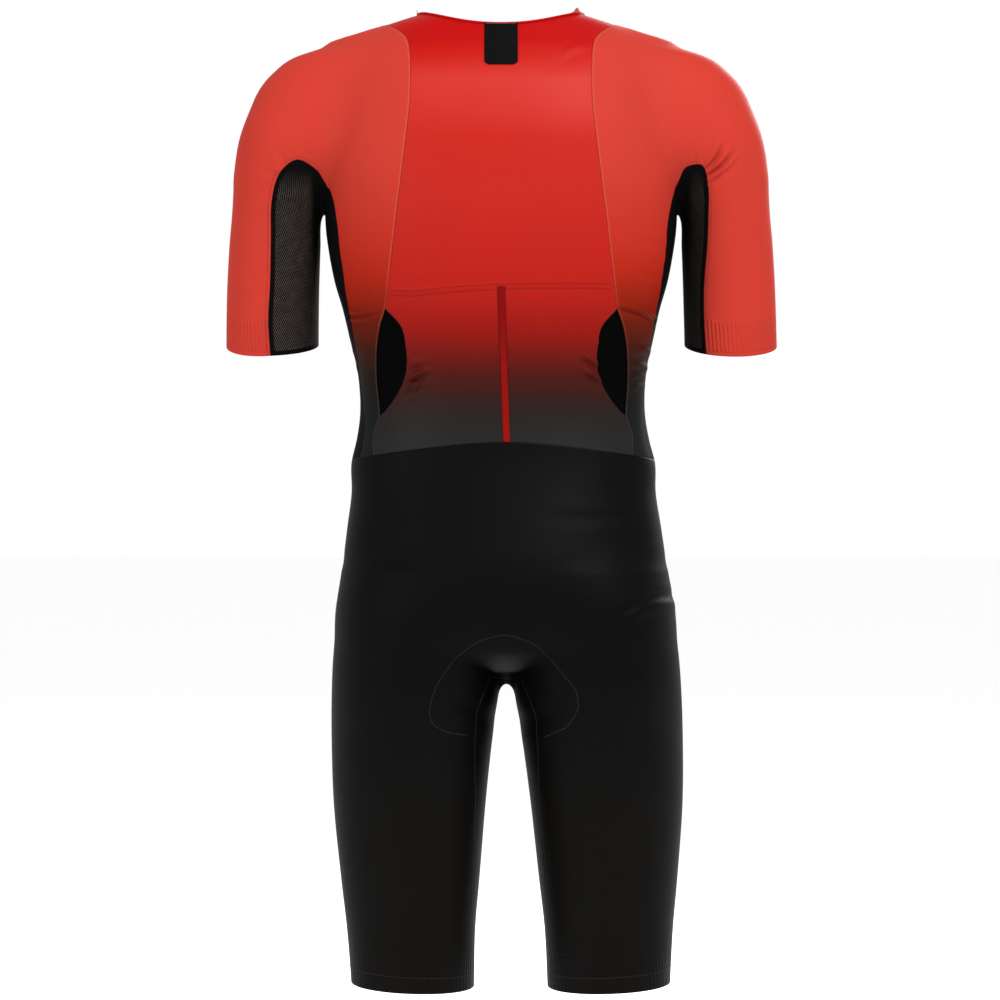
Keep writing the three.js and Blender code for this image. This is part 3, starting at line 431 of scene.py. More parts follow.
def across(a, b, columns):
    """Lines on the form from points a to points b, as even steps.

    Seen from the middle of the trunk they turn and rise at one rate, and a line above the
    neckline's root bows up near a.
    """
    root = np.zeros_like(a)
    root[:, 2] = np.minimum(NECK_ROOT, a[:, 2])

    def seen(p):
        far = np.hypot(p[:, 0], p[:, 1])
        return np.arctan2(p[:, 1], p[:, 0]), np.arctan2(p[:, 2] - root[:, 2], far)

    turn_a, rise_a = seen(a)
    turn_b, rise_b = seen(b)
    t = np.linspace(0, 1, 2 * columns + 1)[None, :]
    bow = np.where(a[:, 2] > NECK_ROOT, math.radians(ROW_BOW), 0)[:, None]
    turn = turn_a[:, None] + (turn_b - turn_a)[:, None] * t
    rise = rise_a[:, None] + (rise_b - rise_a)[:, None] * t + bow * np.sin(math.pi * t) * (1 - t)
    flat = np.cos(rise)
    aim = np.stack([np.cos(turn) * flat, np.sin(turn) * flat, np.sin(rise)], -1)
    lines = settle(even(reach(root[:, None], aim), columns), 2)
    lines[:, 0], lines[:, -1] = a, b
    return lines


def opposite(p):
    return p * np.array([-1.0, 1.0, 1.0])


arm_rungs = Rungs(ARM_RUNG, ARM_RUNGS)
leg_rungs = Rungs(LEG_RUNG, LEG_RUNGS)


def joined(near, far, angles):
    """Two panels side by side, with one more row on the waist at these three angles."""
    start, edge, end = angles
    near = np.concatenate([near, waist(np.linspace(start, edge, near.shape[1]))[None]])
    far = np.concatenate([far, waist(np.linspace(edge, end, far.shape[1]))[None]])
    return np.concatenate([settle(near), settle(far)[:, 1:]], 1)


def arm_half(side, reach_name):
    """Rows from the cuff to the waist: the underarm columns and then the sleeve columns."""
    rungs = arm_rungs
    start = np.zeros(len(rungs.length))
    edge = rungs.angle_at(rungs.column[reach_name], side, WIDEST)
    end = rungs.angle_at(rungs.length, side, HALF_TURN)
    end[: TOP_RUNG + 1] = side * HALF_TURN
    near = rungs.line(start, edge, COLUMNS["underarm"])
    far = rungs.line(edge, end, COLUMNS["sleeve"])
    mesh_edge = side * MESH_AT_WAIST[reach_name]
    return joined(near, far, (0, mesh_edge, side * RAGLAN_AT_WAIST))


def leg_half(side):
    rungs = leg_rungs
    closed = np.arange(len(rungs.length)) >= CROTCH_RUNG
    start = np.where(closed, rungs.angle_at(0, side, WIDEST), 0)
    edge = rungs.angle_at(rungs.column["panel"], side, WIDEST)
    seam = rungs.column["seam"] if side > 0 else rungs.column["seam"] - 360
    near = rungs.line(start, edge, COLUMNS["inner"])
    far = rungs.line(edge, seam, COLUMNS["leg"])
    near[CROTCH_RUNG:, 0, 0] = 0
    middle = side * 90
    cut = middle + (SEAM_AT_WAIST - middle) * INNER_AT_WAIST
    return joined(near, far, (middle, cut, SEAM_AT_WAIST))


# The folds of the cloth. Each runs from (x1, z1) to (x2, z2), bends to one side by bend, fades
# over width to each side and rises by height, or sinks if height is below 0.
FOLD = ("x1", "z1", "x2", "z2", "bend", "width", "height")
HOLLOW = 0.25  # how deep the cloth sinks beside a fold, as a share of its height
BACK_FOLDS = [
    # the left armpit
    (224, -134, 218, -144, 0, 2.9, 1.35),
    (227, -141, 220, -147, 0, 2.7, 1.2),
    (216, -126, 212, -140, 1, 3.4, -0.9),
    (196, -190, 208, -206, 3, 4.5, 1.05),
    # the right armpit, with more folds
    (-199, -142.5, -213, -119, 2, 2.1, 2.0),
    (-200.5, -149, -223, -126, 2, 2.2, 2.6),
    (-200, -155, -231, -132.5, 3, 2.2, 2.3),
    (-199, -161, -211, -151.5, 1, 2.0, 1.6),
    (-201, -146, -217, -124, 2, 1.7, -1.4),
    (-201, -152.5, -228, -129.5, 2, 1.7, -1.5),
    (-200, -159, -220, -146, 2, 1.8, -1.2),
    (-193, -137, -197, -122, -1, 2.6, 0.9),
    (-231, -205, -243, -160, -4, 9, -0.9),
    # across the side panels, where the pocket's top edge is sewn in behind
    (153, -291, 118, -290, 1, 1.7, 1.5),
    (152, -284, 114, -285, 1, 2.5, 0.75),
    (152, -288, 120, -287, 1, 1.8, -1.05),
    (-112, -280, -152, -289, -2, 1.8, 2.1),
    (-116, -285, -151, -294, -2, 2, -1.5),
    (124, -297, 116, -293, 1, 2.2, 1.05),
    # down the right side panel
    (-134, -206, -160, -214, 3, 3.8, 0.75),
    (-138, -220, -161, -232, 3, 3.4, 0.75),
    (-134, -236, -158, -246, 3, 3.4, 0.9),
    (-130, -249, -155, -259, 2, 3.4, 0.9),
    (-133, -262, -154, -268, 2, 2.9, 0.75),
    (-131, -322, -149, -323, -1, 2.9, 1.2),
    (-128, -337, -148, -340, -1, 2.9, 1.35),
    (-127, -350, -141, -346, -1, 2.7, 1.35),
    (-126, -361, -138, -357, -1, 2.7, 1.2),
    (-130, -330, -148, -331, 0, 3.4, -0.9),
    # down the left side panel
    (152, -322, 138, -318, 1, 3.4, 0.6),
    (150, -338, 140, -336, 1, 3.4, 0.6),
    # beside the pocket openings
    (91, -338, 79, -334.5, -1, 2.1, 1.5),
    (93, -343, 76, -339, 1, 2.0, -1.4),
    (93.5, -352, 70, -344, -1.5, 2.2, 2.2),
    (94, -356.5, 74, -349, 1, 2.0, -1.9),
    (96, -362, 72, -357, -1.5, 2.2, 2.0),
    (97, -366.5, 80, -361, 1, 2.0, -1.5),
    (-86, -311, -95, -317, -1, 2.2, 1.2),
    (-76, -328, -94, -339, -2, 2.3, 2.2),
    (-77, -333, -94, -344, -1, 2.0, -2.0),
    (-79, -344, -97, -354, -2, 2.3, 2.2),
    (-80, -349, -97, -359, -1, 2.0, -1.9),
    (-70, -320, -90, -330, -2, 3.0, 0.8),
    # along the pocket's top edge
    (106, -267, -2, -261, 1.5, 2.4, 0.7),
    (4, -261, -108, -259.5, 0.3, 2.4, 0.7),
    # from the neck's corners
    (92, -32, 68, -38, -2, 3.4, 1.05),
    (-84, -27, -60, -38, 2, 3.6, 1.2),
    (84, -40, 58, -47, -2, 6.7, -0.75),
    (-80, -37, -56, -46, 2, 6.7, -0.75),
    # the seat and the right hip
    (50, -660, -64, -659, 30, 9, -1.4),
    (60, -668, 20, -650, 9, 7, -1.2),
    (-24, -648, -72, -668, 9, 7, -1.4),
    (112, -642, 66, -646, -5, 16, -1.8),
    (-92, -620, -132, -632, 5, 16, -1.6),
    (-114, -578, -172, -566, -7, 4, -1.8),
    (-120, -585, -172, -575, -7, 6, 1.4),
    (-50, -487, -118, -485, 2, 5.6, -0.9),
]
FRONT_FOLDS = [
    (214, -160, 188, -128, 3, 5, 1.2),
    (-214, -160, -188, -128, -3, 5, 1.2),
    (206, -176, 178, -150, 3, 5, -1.0),
    (-208, -174, -180, -148, -3, 5, -1.0),
    (60, -430, 96, -452, 3, 7, 0.7),
    (-56, -436, -98, -458, -3, 7, 0.7),
    (12, -640, 70, -600, -6, 8, -1.6),
    (-12, -640, -66, -604, 6, 8, -1.6),
]


def folds_of(points, normals):
    """How far the cloth stands out of the form at each point."""
    total = np.zeros(points.shape[:-1])
    for side, row in [(BACK, row) for row in BACK_FOLDS] + [(FRONT, row) for row in FRONT_FOLDS]:
        fold = dict(zip(FOLD, row))
        start = np.array([fold["x1"], fold["z1"]], float)
        along = np.array([fold["x2"], fold["z2"]], float) - start
        length = np.linalg.norm(along)
        along /= length
        flat = points[..., [0, 2]] - start
        t = flat @ along / length
        held = np.clip(t, 0, 1)
        d = flat @ np.array([-along[1], along[0]]) - fold["bend"] * 4 * held * (1 - held)
        beyond = (t - held) * length
        width = fold["width"]
        ridge = bell(d / width) - HOLLOW * bell((np.abs(d) - 2 * width) / width)
        taper = bell(beyond / (1.5 * width)) * (0.35 + 0.65 * np.sin(math.pi * held) ** 0.6)
        total += fold["height"] * ridge * taper * smooth(normals[..., 1] * side, -0.15, 0.25)
    return total


def lean(points):
    below = LEAN_FROM - points[..., 2]
    leaned = np.array(points, float)
    leaned[..., 0] -= LEAN * (below + np.hypot(below, LEAN_BEND)) * 0.5
    return leaned


def worn(points, lift=0.0):
    """Points near the form, on the folded cloth and lift above it, with their normals."""
    on = settle(points, 2)
    normals = unit(slope(on))
    height = folds_of(on, normals) + lift
    return on + normals * np.asarray(height)[..., None], normals


FAR_OFF = 60.0
AT_ONCE = 400
SHARP = 55


def away_from(points, lines):
    """Distance of each point to the nearest of these lines, up to FAR_OFF."""
    nearest = np.full(len(points), FAR_OFF)
    starts = np.concatenate([line[:-1] for line in lines])
    steps = np.concatenate([line[1:] - line[:-1] for line in lines])
    sizes = np.maximum((steps * steps).sum(-1), 1e-9)
    for k in range(0, len(points), AT_ONCE):
        part = points[k : k + AT_ONCE, None] - starts[None]
        t = np.clip((part * steps).sum(-1) / sizes, 0, 1)
        gone = np.linalg.norm(part - t[..., None] * steps, axis=-1).min(1)
        nearest[k : k + AT_ONCE] = np.minimum(FAR_OFF, gone)
    return nearest


class Cloth:
    """Grids of points that share edges, gathered into one piece of cloth."""

    def __init__(self, *grids):
        self.grids = []
        self.marks = []
        for grid in grids:
            self.add(grid)

    def add(self, grid):
        rows, columns = grid.shape[:2]
        wide = np.linalg.norm(np.diff(grid, axis=1), axis=-1)
        tall = np.linalg.norm(np.diff(grid, axis=0), axis=-1)
        u = np.concatenate([np.zeros((rows, 1)), np.cumsum(wide, 1)], 1)
        v = np.concatenate([np.zeros((1, columns)), np.cumsum(tall, 0)], 0)
        self.grids.append(grid)
        self.marks.append(np.stack([u, v], -1))

    def gathered(self):
        """Points, faces and marks, with the points that grids share merged."""
        faces = []
        count = 0
        for grid in self.grids:
            rows, columns = grid.shape[:2]
            index = np.arange(rows * columns).reshape(rows, columns) + count
            corners = [index[:-1, :-1], index[:-1, 1:], index[1:, 1:], index[1:, :-1]]
            turned = np.cross(grid[1:, 1:] - grid[:-1, :-1], grid[1:, :-1] - grid[:-1, 1:])
            if (turned * unit(slope(grid[:-1, :-1]))).sum() < 0:
                corners.reverse()
            faces.append(np.stack(corners, -1).reshape(-1, 4))
            count += rows * columns
        points = np.concatenate([grid.reshape(-1, 3) for grid in self.grids])
        marks = np.concatenate([mark.reshape(-1, 2) for mark in self.marks])
        key = np.round(points / SAME).astype(int)
        _, first, where = np.unique(key, axis=0, return_index=True, return_inverse=True)
        return points[first], where.reshape(-1)[np.concatenate(faces)], marks[first]


def whole(quads):
    """The faces without repeated corners."""
    rings = [[v for k, v in enumerate(ring) if v != ring[k - 1]] for ring in quads.tolist()]
    return [ring for ring in rings if len(set(ring)) >= 3]


def rim_of(faces):
    edges = {(ring[k - 1], ring[k]) for ring in faces for k in range(len(ring))}
    return sorted((a, b) for a, b in edges if (b, a) not in edges)


def smooth_mesh(name, points, faces):
    mesh = bpy.data.meshes.new(name)
    mesh.from_pydata((lean(points) * MM).tolist(), [], faces)
    mesh.update()
    mesh.shade_smooth()
    return mesh


def wall_mesh(name, points, normals, quads, thick, marks, seams):
    """A cloth wall: the outer skin, the same skin moved in, and the rim between them."""
    faces = whole(quads)
    rim = rim_of(faces)
    count = len(points)
    inner = points - normals * np.broadcast_to(thick, (count,))[:, None]
    below = [[v + count for v in ring[::-1]] for ring in faces]
    walls = [[b, a, a + count, b + count] for a, b in rim]
    mesh = smooth_mesh(name, np.concatenate([points, inner]), faces + below + walls)
    values = {"across_mm": marks[:, 0], "down_mm": marks[:, 1]}
    values["edge_mm"] = away_from(points, [points[[a, b]] for a, b in rim])
    values["seam_mm"] = away_from(points, seams) if seams else np.full(count, FAR_OFF)
    for label, value in values.items():
        layer = mesh.attributes.new(label, "FLOAT", "POINT")
        layer.data.foreach_set("value", np.concatenate([value, value]).astype(np.float32))
    mesh.set_sharp_from_angle(angle=math.radians(SHARP))
    return mesh


def piece(name, mesh, look, replaced=(), body="suit"):
    thing = bpy.data.objects.new(name, mesh)
    bpy.context.scene.collection.objects.link(thing)
    mesh.materials.append(LOOKS[look])
    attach(thing, body)
    if replaced:
        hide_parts(*replaced)
    return thing


def cloth_piece(
    name, cloth, look, lift=0.0, thick=WALL, seams=(), relief=None
):
    points, quads, marks = cloth.gathered()
    normals = unit(slope(points))
    height = folds_of(points, normals) + lift
    if relief:
        height = height + relief(marks)
    outer = points + normals * height[:, None]
    mesh = wall_mesh(name, outer, normals, quads, thick, marks, list(seams))
    thing = piece(name, mesh, look, [name])


class Thread:
    """Many short stitches in one mesh."""

    RINGS = ((-0.5, 0.25), (-0.28, 1.0), (0.28, 1.0), (0.5, 0.25))
    SIDES = 5
    FLAT = 0.7

    def __init__(self):
        self.points = []
        self.faces = []

    def sew(self, line, length=2.2, pitch=3.0, radius=0.32, swing=0.0, lift=0.1, shift=0.0):
        """Stitches along a line. swing turns them to and fro, shift moves the line over."""
        middles = stepped(line, lambda size: np.arange(pitch / 2, size, pitch))
        middles, normals = worn(middles, lift)
        along = unit(np.gradient(middles, axis=0))
        over = unit(np.cross(normals, along))
        middles = middles + over * shift
        places = zip(middles, normals, along, over)
        for k, (middle, normal, forward, side) in enumerate(places):
            if swing:
                forward = unit(forward * pitch + side * swing * (1 if k % 2 else -1))
                side = np.cross(normal, forward)
            count = len(self.points)
            for at, full in self.RINGS:
                for s in range(self.SIDES):
                    turn = 2 * math.pi * s / self.SIDES
                    spoke = side * math.cos(turn) + normal * (math.sin(turn) * self.FLAT)
                    spot = middle + forward * (at * length) + spoke * (radius * full)
                    self.points.append(spot)
            for ring in range(len(self.RINGS) - 1):
                first = count + ring * self.SIDES
                for s in range(self.SIDES):
                    a, b = first + s, first + (s + 1) % self.SIDES
                    self.faces.append([a, b, b + self.SIDES, a + self.SIDES])
            last = count + (len(self.RINGS) - 1) * self.SIDES
            self.faces.append([count + s for s in reversed(range(self.SIDES))])
            self.faces.append([last + s for s in range(self.SIDES)])

    def made(self, name, look, slot):
        mesh = smooth_mesh(name, np.array(self.points), self.faces)
        piece(name, mesh, look)


# Materials
LOOKS = {}
SUMS = {"add": "ADD", "mul": "MULTIPLY", "sub": "SUBTRACT", "truediv": "DIVIDE"}


class Number:
    """A value that varies over a material, with plain sums of its own."""

    def __init__(self, finish, socket):
        self.finish = finish
        self.socket = socket

    def sum(self, operation, *values):
        values = dict(enumerate(values))
        made = self.finish.node("ShaderNodeMath", {"operation": operation}, values)
        return Number(self.finish, made.outputs[0])

    def __abs__(self):
        return self.sum("ABSOLUTE", self)

    def wave(self, pitch):
        return self.sum("SINE", self * (2 * math.pi / pitch))

    def between(self, low, high):
        """0 at low and 1 at high, smoothly."""
        inputs = {"Value": self, "From Min": low, "From Max": high, "To Min": 0.0, "To Max": 1.0}
        made = self.finish.node("ShaderNodeMapRange", {"interpolation_type": "SMOOTHSTEP"}, inputs)
        return Number(self.finish, made.outputs["Result"])


for word, kind in SUMS.items():
    setattr(Number, f"__{word}__", lambda a, b, kind=kind: a.sum(kind, a, b))
    setattr(Number, f"__r{word}__", lambda a, b, kind=kind: a.sum(kind, b, a))


class Finish:
    """A material made step by step."""

    def __init__(self, name):
        self.material = bpy.data.materials.new(name)
        self.material.use_nodes = True
        self.tree = self.material.node_tree
        self.shader = self.tree.nodes["Principled BSDF"]
        LOOKS[name] = self.material

    def node(self, kind, settings=None, inputs=None):
        made = self.tree.nodes.new(kind)
        for key, value in (settings or {}).items():
            setattr(made, key, value)
        for key, value in (inputs or {}).items():
            self.feed(made.inputs[key], value)
        return made

    def feed(self, socket, value):
        value = value.socket if isinstance(value, Number) else value
        if isinstance(value, bpy.types.NodeSocket):
            self.tree.links.new(value, socket)
        else:
            socket.default_value = value

    def set(self, **values):
        for key, value in values.items():
            self.feed(self.shader.inputs[key.replace("_", " ")], value)

    def marks(self, *names):
        """The meshes' own measures in millimetres: across, down, edge and seam."""
        made = [self.node("ShaderNodeAttribute", {"attribute_name": f"{n}_mm"}) for n in names]
        return [Number(self, node.outputs["Fac"]) for node in made]

    def place(self):
        """Where a point lies in the suit's own frame, in millimetres."""
        made = self.node("ShaderNodeTexCoord")
        parts = self.node("ShaderNodeSeparateXYZ", {}, {0: made.outputs["Object"]})
        self.spot = made.outputs["Object"]
        return [Number(self, parts.outputs[axis]) / MM for axis in "XYZ"]

    def cloudy(self, size, detail=2.0):
        """Soft noise from 0 to 1 whose patches are about size millimetres across."""
        inputs = {"Vector": self.spot, "Scale": 1 / (size * MM), "Detail": detail, "Roughness": 0.5}
        return Number(self, self.node("ShaderNodeTexNoise", {}, inputs).outputs["Fac"])

    def colours(self, value, stops):
        """A colour that runs through stops of (place, colour)."""
        made = self.node("ShaderNodeValToRGB", {}, {0: value})
        ramp = made.color_ramp
        while len(ramp.elements) < len(stops):
            ramp.elements.new(0.5)
        for element, (at, colour) in zip(ramp.elements, stops):
            element.position = at
            element.color = (*colour, 1)
        return made.outputs["Color"]

    def mixed(self, share, a, b):
        inputs = {0: share, 6: a, 7: b}
        return self.node("ShaderNodeMix", {"data_type": "RGBA"}, inputs).outputs[2]

    def shaded(self, value, colour):
        inputs = {"Value": value, "Color": colour}
        return self.node("ShaderNodeHueSaturation", {}, inputs).outputs[0]

    def done(self, colour, roughness, level, height, depth, strength, metal=0.0):
        """Sets the shader. A height of 0 to 1 stands for depth millimetres of relief."""
        inputs = {"Height": height, "Distance": depth * MM, "Strength": strength}
        bump = self.node("ShaderNodeBump", {}, inputs)
        self.set(Base_Color=colour, Roughness=roughness, Specular_IOR_Level=level)
        self.set(Metallic=metal, Normal=bump.outputs["Normal"])


DYE = 0.46  # how much darker a dye is than it looks in the studio's light
DYE_LOSS, DARKEST = 0.004, 0.0005


def light(v):
    """A screen's channel, 0 to 255, as an even measure of light."""
    return ((v / 255 + 0.055) / 1.055) ** 2.4 if v > 10 else v / 255 / 12.92


def dye(colour):
    """A screen colour as the dye of the cloth that looks so."""
    return tuple(max(light(v) * DYE - DYE_LOSS, DARKEST) for v in colour)


def solid_dye(colour):
    return (*dye(colour), 1)


FADE_LOW, FADE_HIGH = -430.0, -20.0


def faded(finish, height, stops):
    """The colour at a height, between stops of (height, screen colour)."""
    span = FADE_HIGH - FADE_LOW
    dyes = [((z - FADE_LOW) / span, dye(colour)) for z, colour in stops]
    return finish.colours((height - FADE_LOW) / span, dyes)


# Colours by height for the back and front panels. Below about -264 the red dye fades to grey. The
# stops above that paint light: a painted highlight band at -88 and -62, painted shade towards the
# neck above it, and slightly darker painted shade below it, from -120 to -222.
BACK_FADE_AND_LIGHT_BANDS = [
    (-414, (44, 45, 44)),
    (-390, (46, 42, 40)),
    (-368, (60, 37, 33)),
    (-346, (88, 33, 29)),
    (-326, (124, 32, 28)),
    (-302, (160, 33, 28)),
    (-264, (190, 40, 33)),
    (-222, (196, 44, 37)),
    (-170, (200, 48, 40)),
    (-120, (204, 47, 38)),
    (-88, (210, 56, 49)),
    (-62, (214, 61, 54)),
    (-38, (204, 38, 30)),
    (-20, (196, 24, 20)),
]
SIDE_FADE = [
    (-420, (38, 40, 40)),
    (-372, (36, 36, 36)),
    (-345, (46, 36, 31)),
    (-322, (70, 36, 28)),
    (-298, (112, 38, 27)),
    (-276, (156, 43, 29)),
    (-250, (186, 48, 34)),
    (-215, (200, 57, 45)),
    (-150, (210, 68, 56)),
    (-90, (211, 69, 57)),
]

THREAD_FADE = [
    (-430, (74, 72, 68)),
    (-370, (80, 74, 68)),
    (-335, (98, 72, 60)),
    (-300, (150, 76, 58)),
    (-250, (226, 100, 78)),
    (-200, (232, 108, 86)),
]


SHOULDER_FADE = (171, 178)
# Painted shade: near-black colours that darken the panels' edges, standing for shade in the seams
# between panels.
SEAM_SHADE_COLOUR = (0.02, 0.006, 0.005, 1)
SEAM_SHADE_BLACK = (0.0008, 0.0008, 0.0008, 1)
CUFF_RIB = {"pitch": 4.1, "from": (3.5, 5.5), "to": 30, "uneven": 8}
HEM_RIB = {"pitch": 5.2, "from": (-925, -917), "line": 917}
NET = {"across": 2.3, "down": 2.6, "from": (184, 191), "to": (-172, -142), "edge": (4.2, 5.0)}


def stretch_knit(name, stops, roughness, level, sleeve=None):
    """Smooth dyed knit whose colour fades down the body, with painted shade darkening the edges of
    its panels along the seams.

    A sleeve has one colour and a ribbed cuff.
    """
    finish = Finish(name)
    x, _, z = finish.place()
    down, along, edge, seam = finish.marks("down", "across", "edge", "seam")
    colour = faded(finish, z, stops)
    if sleeve:
        colour = finish.mixed(abs(x).between(*SHOULDER_FADE), colour, solid_dye(sleeve))
    speckle = finish.cloudy(1.1, 1.0)
    colour = finish.shaded(0.93 + speckle * 0.07 + finish.cloudy(70.0) * 0.07, colour)
    raised = edge.between(0.0, 1.3) * 0.55 + speckle * 0.05
    # painted shade: the panels' edges darkened towards near black, for shade in the seams
    seam_shade = (1 - edge.between(0.1, 0.9)) * (0.1 if sleeve else 0.4)
    colour = finish.mixed(seam_shade, colour, SEAM_SHADE_COLOUR)
    if sleeve:
        ends = CUFF_RIB["to"] + CUFF_RIB["uneven"] * finish.cloudy(9.0, 0.0)
        rib = along.wave(CUFF_RIB["pitch"]) * 0.5 + 0.5
        held = (1 - ((down - ends) / 3).between(0, 1)) * down.between(*CUFF_RIB["from"])
        raised = raised + rib * held * (0.7 + 0.7 * finish.cloudy(6.0))
        raised = raised - (1 - abs((down - 3.2) / 0.8).between(0, 1)) * 0.25
        turned = (1 - abs(seam - 1.0).between(0.2, 1.0)) * 0.4
        colour = finish.mixed(turned, colour, faded(finish, z, THREAD_FADE))
    finish.done(colour, roughness, level, raised, 0.9, 0.7)


def bound_edge(name):
    """The neck's binding, coloured like the panels' tops with their painted shade at the neck, and
    with a paler rolled top.
    """
    finish = Finish(name)
    _, _, z = finish.place()
    down, along = finish.marks("down", "across")
    pale = solid_dye((232, 128, 106))
    colour = finish.mixed(down.between(1.5, 2.3) * 0.5, faded(finish, z, BACK_FADE_AND_LIGHT_BANDS), pale)
    stitch = along.wave(2.8) * (1 - abs(down - 1.0).between(0.2, 0.7))
    finish.done(colour, 0.6, 0.04, stitch * 0.4 + finish.cloudy(5.0) * 0.3, 0.4, 0.6)


def underarm_net(name):
    """Black knit whose mesh shows along the underside of the arm."""
    finish = Finish(name)
    x, _, z = finish.place()
    down, along, edge = finish.marks("down", "across", "edge")
    u = (along + 0.35 * down).wave(NET["across"])
    v = (down - 0.2 * along).wave(NET["down"])
    hole = (u * v).between(0.4, 0.85)
    netted = abs(x).between(*NET["from"]) * (1 - z.between(*NET["to"]))
    netted = netted * edge.between(*NET["edge"]) * (0.45 + 0.55 * x.between(-20, 20))
    shown = hole * netted * (0.7 + 0.3 * finish.cloudy(9.0).between(0.3, 0.7))
    colour = finish.mixed(shown, solid_dye((9, 8, 8)), solid_dye((158, 142, 132)))
    raised = edge.between(0.0, 1.2) * 0.6 - edge.between(4.0, 5.2) * 0.35 - hole * netted * 0.4
    finish.done(colour, 0.8, 0.04, raised, 0.8, 0.8)


def satin_knit(name):
    """Black knit with faint ribs and a line above the leg hems, with painted shade along its seams
    and a painted lighter tone on the lower legs.
    """
    finish = Finish(name)
    _, _, z = finish.place()
    along, edge = finish.marks("across", "edge")
    cloud = finish.cloudy(60.0)
    black = solid_dye((12, 11, 11)), solid_dye((16, 15, 15))
    colour = finish.mixed(cloud.between(0.3, 0.7), *black)
    # painted light: the lower legs made lighter than the seat, standing for the light that falls on
    # them
    lit_lower_legs = (1 - z.between(-800, -640)) * 0.8
    colour = finish.mixed(lit_lower_legs, colour, solid_dye((30, 29, 28)))
    # painted shade: the shorts' panel edges darkened to near black, for shade in the seams
    colour = finish.mixed(1 - edge.between(0.2, 1.0), colour, SEAM_SHADE_BLACK)
    rib = along.wave(HEM_RIB["pitch"]) * 0.5 + 0.5
    gripper = (1 - z.between(*HEM_RIB["from"])) * rib * 0.35
    wander = (finish.cloudy(40.0) - 0.5) * 3
    line = 1 - abs(z + HEM_RIB["line"] + wander).between(0.0, 1.4)
    raised = edge.between(0.0, 1.4) * 0.6 + gripper + line * 0.3 + finish.cloudy(1.0, 0.0) * 0.04
    finish.done(colour, 0.5 + cloud * 0.12, 0.04, raised, 0.8, 0.7)


def plain_knit(name, colour, roughness, level=0.15, grain=1.0, depth=0.15, metal=0.0):
    finish = Finish(name)
    finish.place()
    cloud = finish.cloudy(grain)
    shade = finish.shaded(0.85 + 0.3 * cloud, solid_dye(colour))
    finish.done(shade, roughness, level, cloud, depth, 0.5, metal)


def woven_tape(name, colour, high=None, low=None):
    """A narrow tape whose edges are darkened with painted shade where they fold."""
    finish = Finish(name)
    _, _, z = finish.place()
    down, along, edge = finish.marks("down", "across", "edge")
    base = solid_dye(colour)
    if high:
        base = finish.mixed(z.between(-345, -290), solid_dye(low), solid_dye(high))
    # painted shade: the tape's folded edges darkened
    edge_shade = solid_dye([c * 0.55 for c in colour])
    base = finish.mixed((1 - edge.between(0.3, 1.3)) * 0.3, base, edge_shade)
    raised = edge.between(0.0, 0.8) + (down + along).wave(1.1) * 0.08 + finish.cloudy(3.0) * 0.3
    finish.done(base, 0.65, 0.04, raised, 0.5, 0.8)


stretch_knit("body_knit", BACK_FADE_AND_LIGHT_BANDS, 0.5, 0.05)
stretch_knit("sleeve_knit", SIDE_FADE, 0.62, 0.03, (213, 68, 56))
bound_edge("binding_knit")
underarm_net("mesh_knit")
satin_knit("shorts_knit")
plain_knit("lining_knit", (9, 8, 8), 0.9, 0.02)
plain_knit("pad_foam", (44, 44, 46), 0.9, 0.15, 2.5, 0.4)
woven_tape("label_tape", (14, 12, 13))
woven_tape("divider_tape", (140, 28, 24), (142, 24, 19), (152, 29, 26))
plain_knit("zip_teeth", (22, 22, 23), 0.45, 0.4, 3.0, 0.05)
plain_knit("zip_metal", (60, 60, 62), 0.35, 0.5, 6.0, 0.03, 0.9)
plain_knit("red_thread", (112, 20, 18), 0.6)
stretch_knit("raglan_thread", THREAD_FADE, 0.6, 0.1)
plain_knit("black_thread", (66, 63, 60), 0.6)
plain_knit("pale_thread", (150, 134, 122), 0.6)
for node in ("zip_slider", "pull_tab"):
    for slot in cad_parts[node].material_slots:
        slot.material = LOOKS["zip_metal"]

# The panels' grids, from cuff to waist and from hem to waist
arm_sides = {}
CUFF_DIP, CUFF_ROWS = 4.0, 14
ARMPIT_RUNGS, ARMPIT_STEP = (3, 7), 2.0
arm_steps = np.full(len(ARM_RUNGS), ARM_STEP)
arm_steps[ARMPIT_RUNGS[0] : ARMPIT_RUNGS[1]] = ARMPIT_STEP
arm_steps[TAIL_RUNGS[0] : TAIL_RUNGS[1]] = TAIL_STEP
arm_counts = None
for name, back_reach, front_reach in (("left", "wide", "narrow"), ("right", "narrow", "wide")):
    back, arm_counts = lengthwise(arm_half(BACK, back_reach), arm_steps, arm_counts)
    front, _ = lengthwise(arm_half(FRONT, front_reach), arm_steps, arm_counts)
    top_row = int(arm_counts[:TOP_RUNG].sum())
    front[:, 0] = back[:, 0]
    front[: top_row + 1, -1] = back[: top_row + 1, -1]
    for half in (back, front):
        hang = np.sin(np.linspace(0, math.pi, half.shape[1]))
        half[:CUFF_ROWS, :, 2] -= CUFF_DIP * hang * np.linspace(1, 0, CUFF_ROWS)[:, None] ** 2
    back, front = settle(back, 3), settle(front, 3)
    if name == "right":
        back, front = opposite(back), opposite(front)
    arm_sides[name] = {BACK: back, FRONT: front}
pocket_row = int(arm_counts[: POCKET_RUNG - 1].sum())

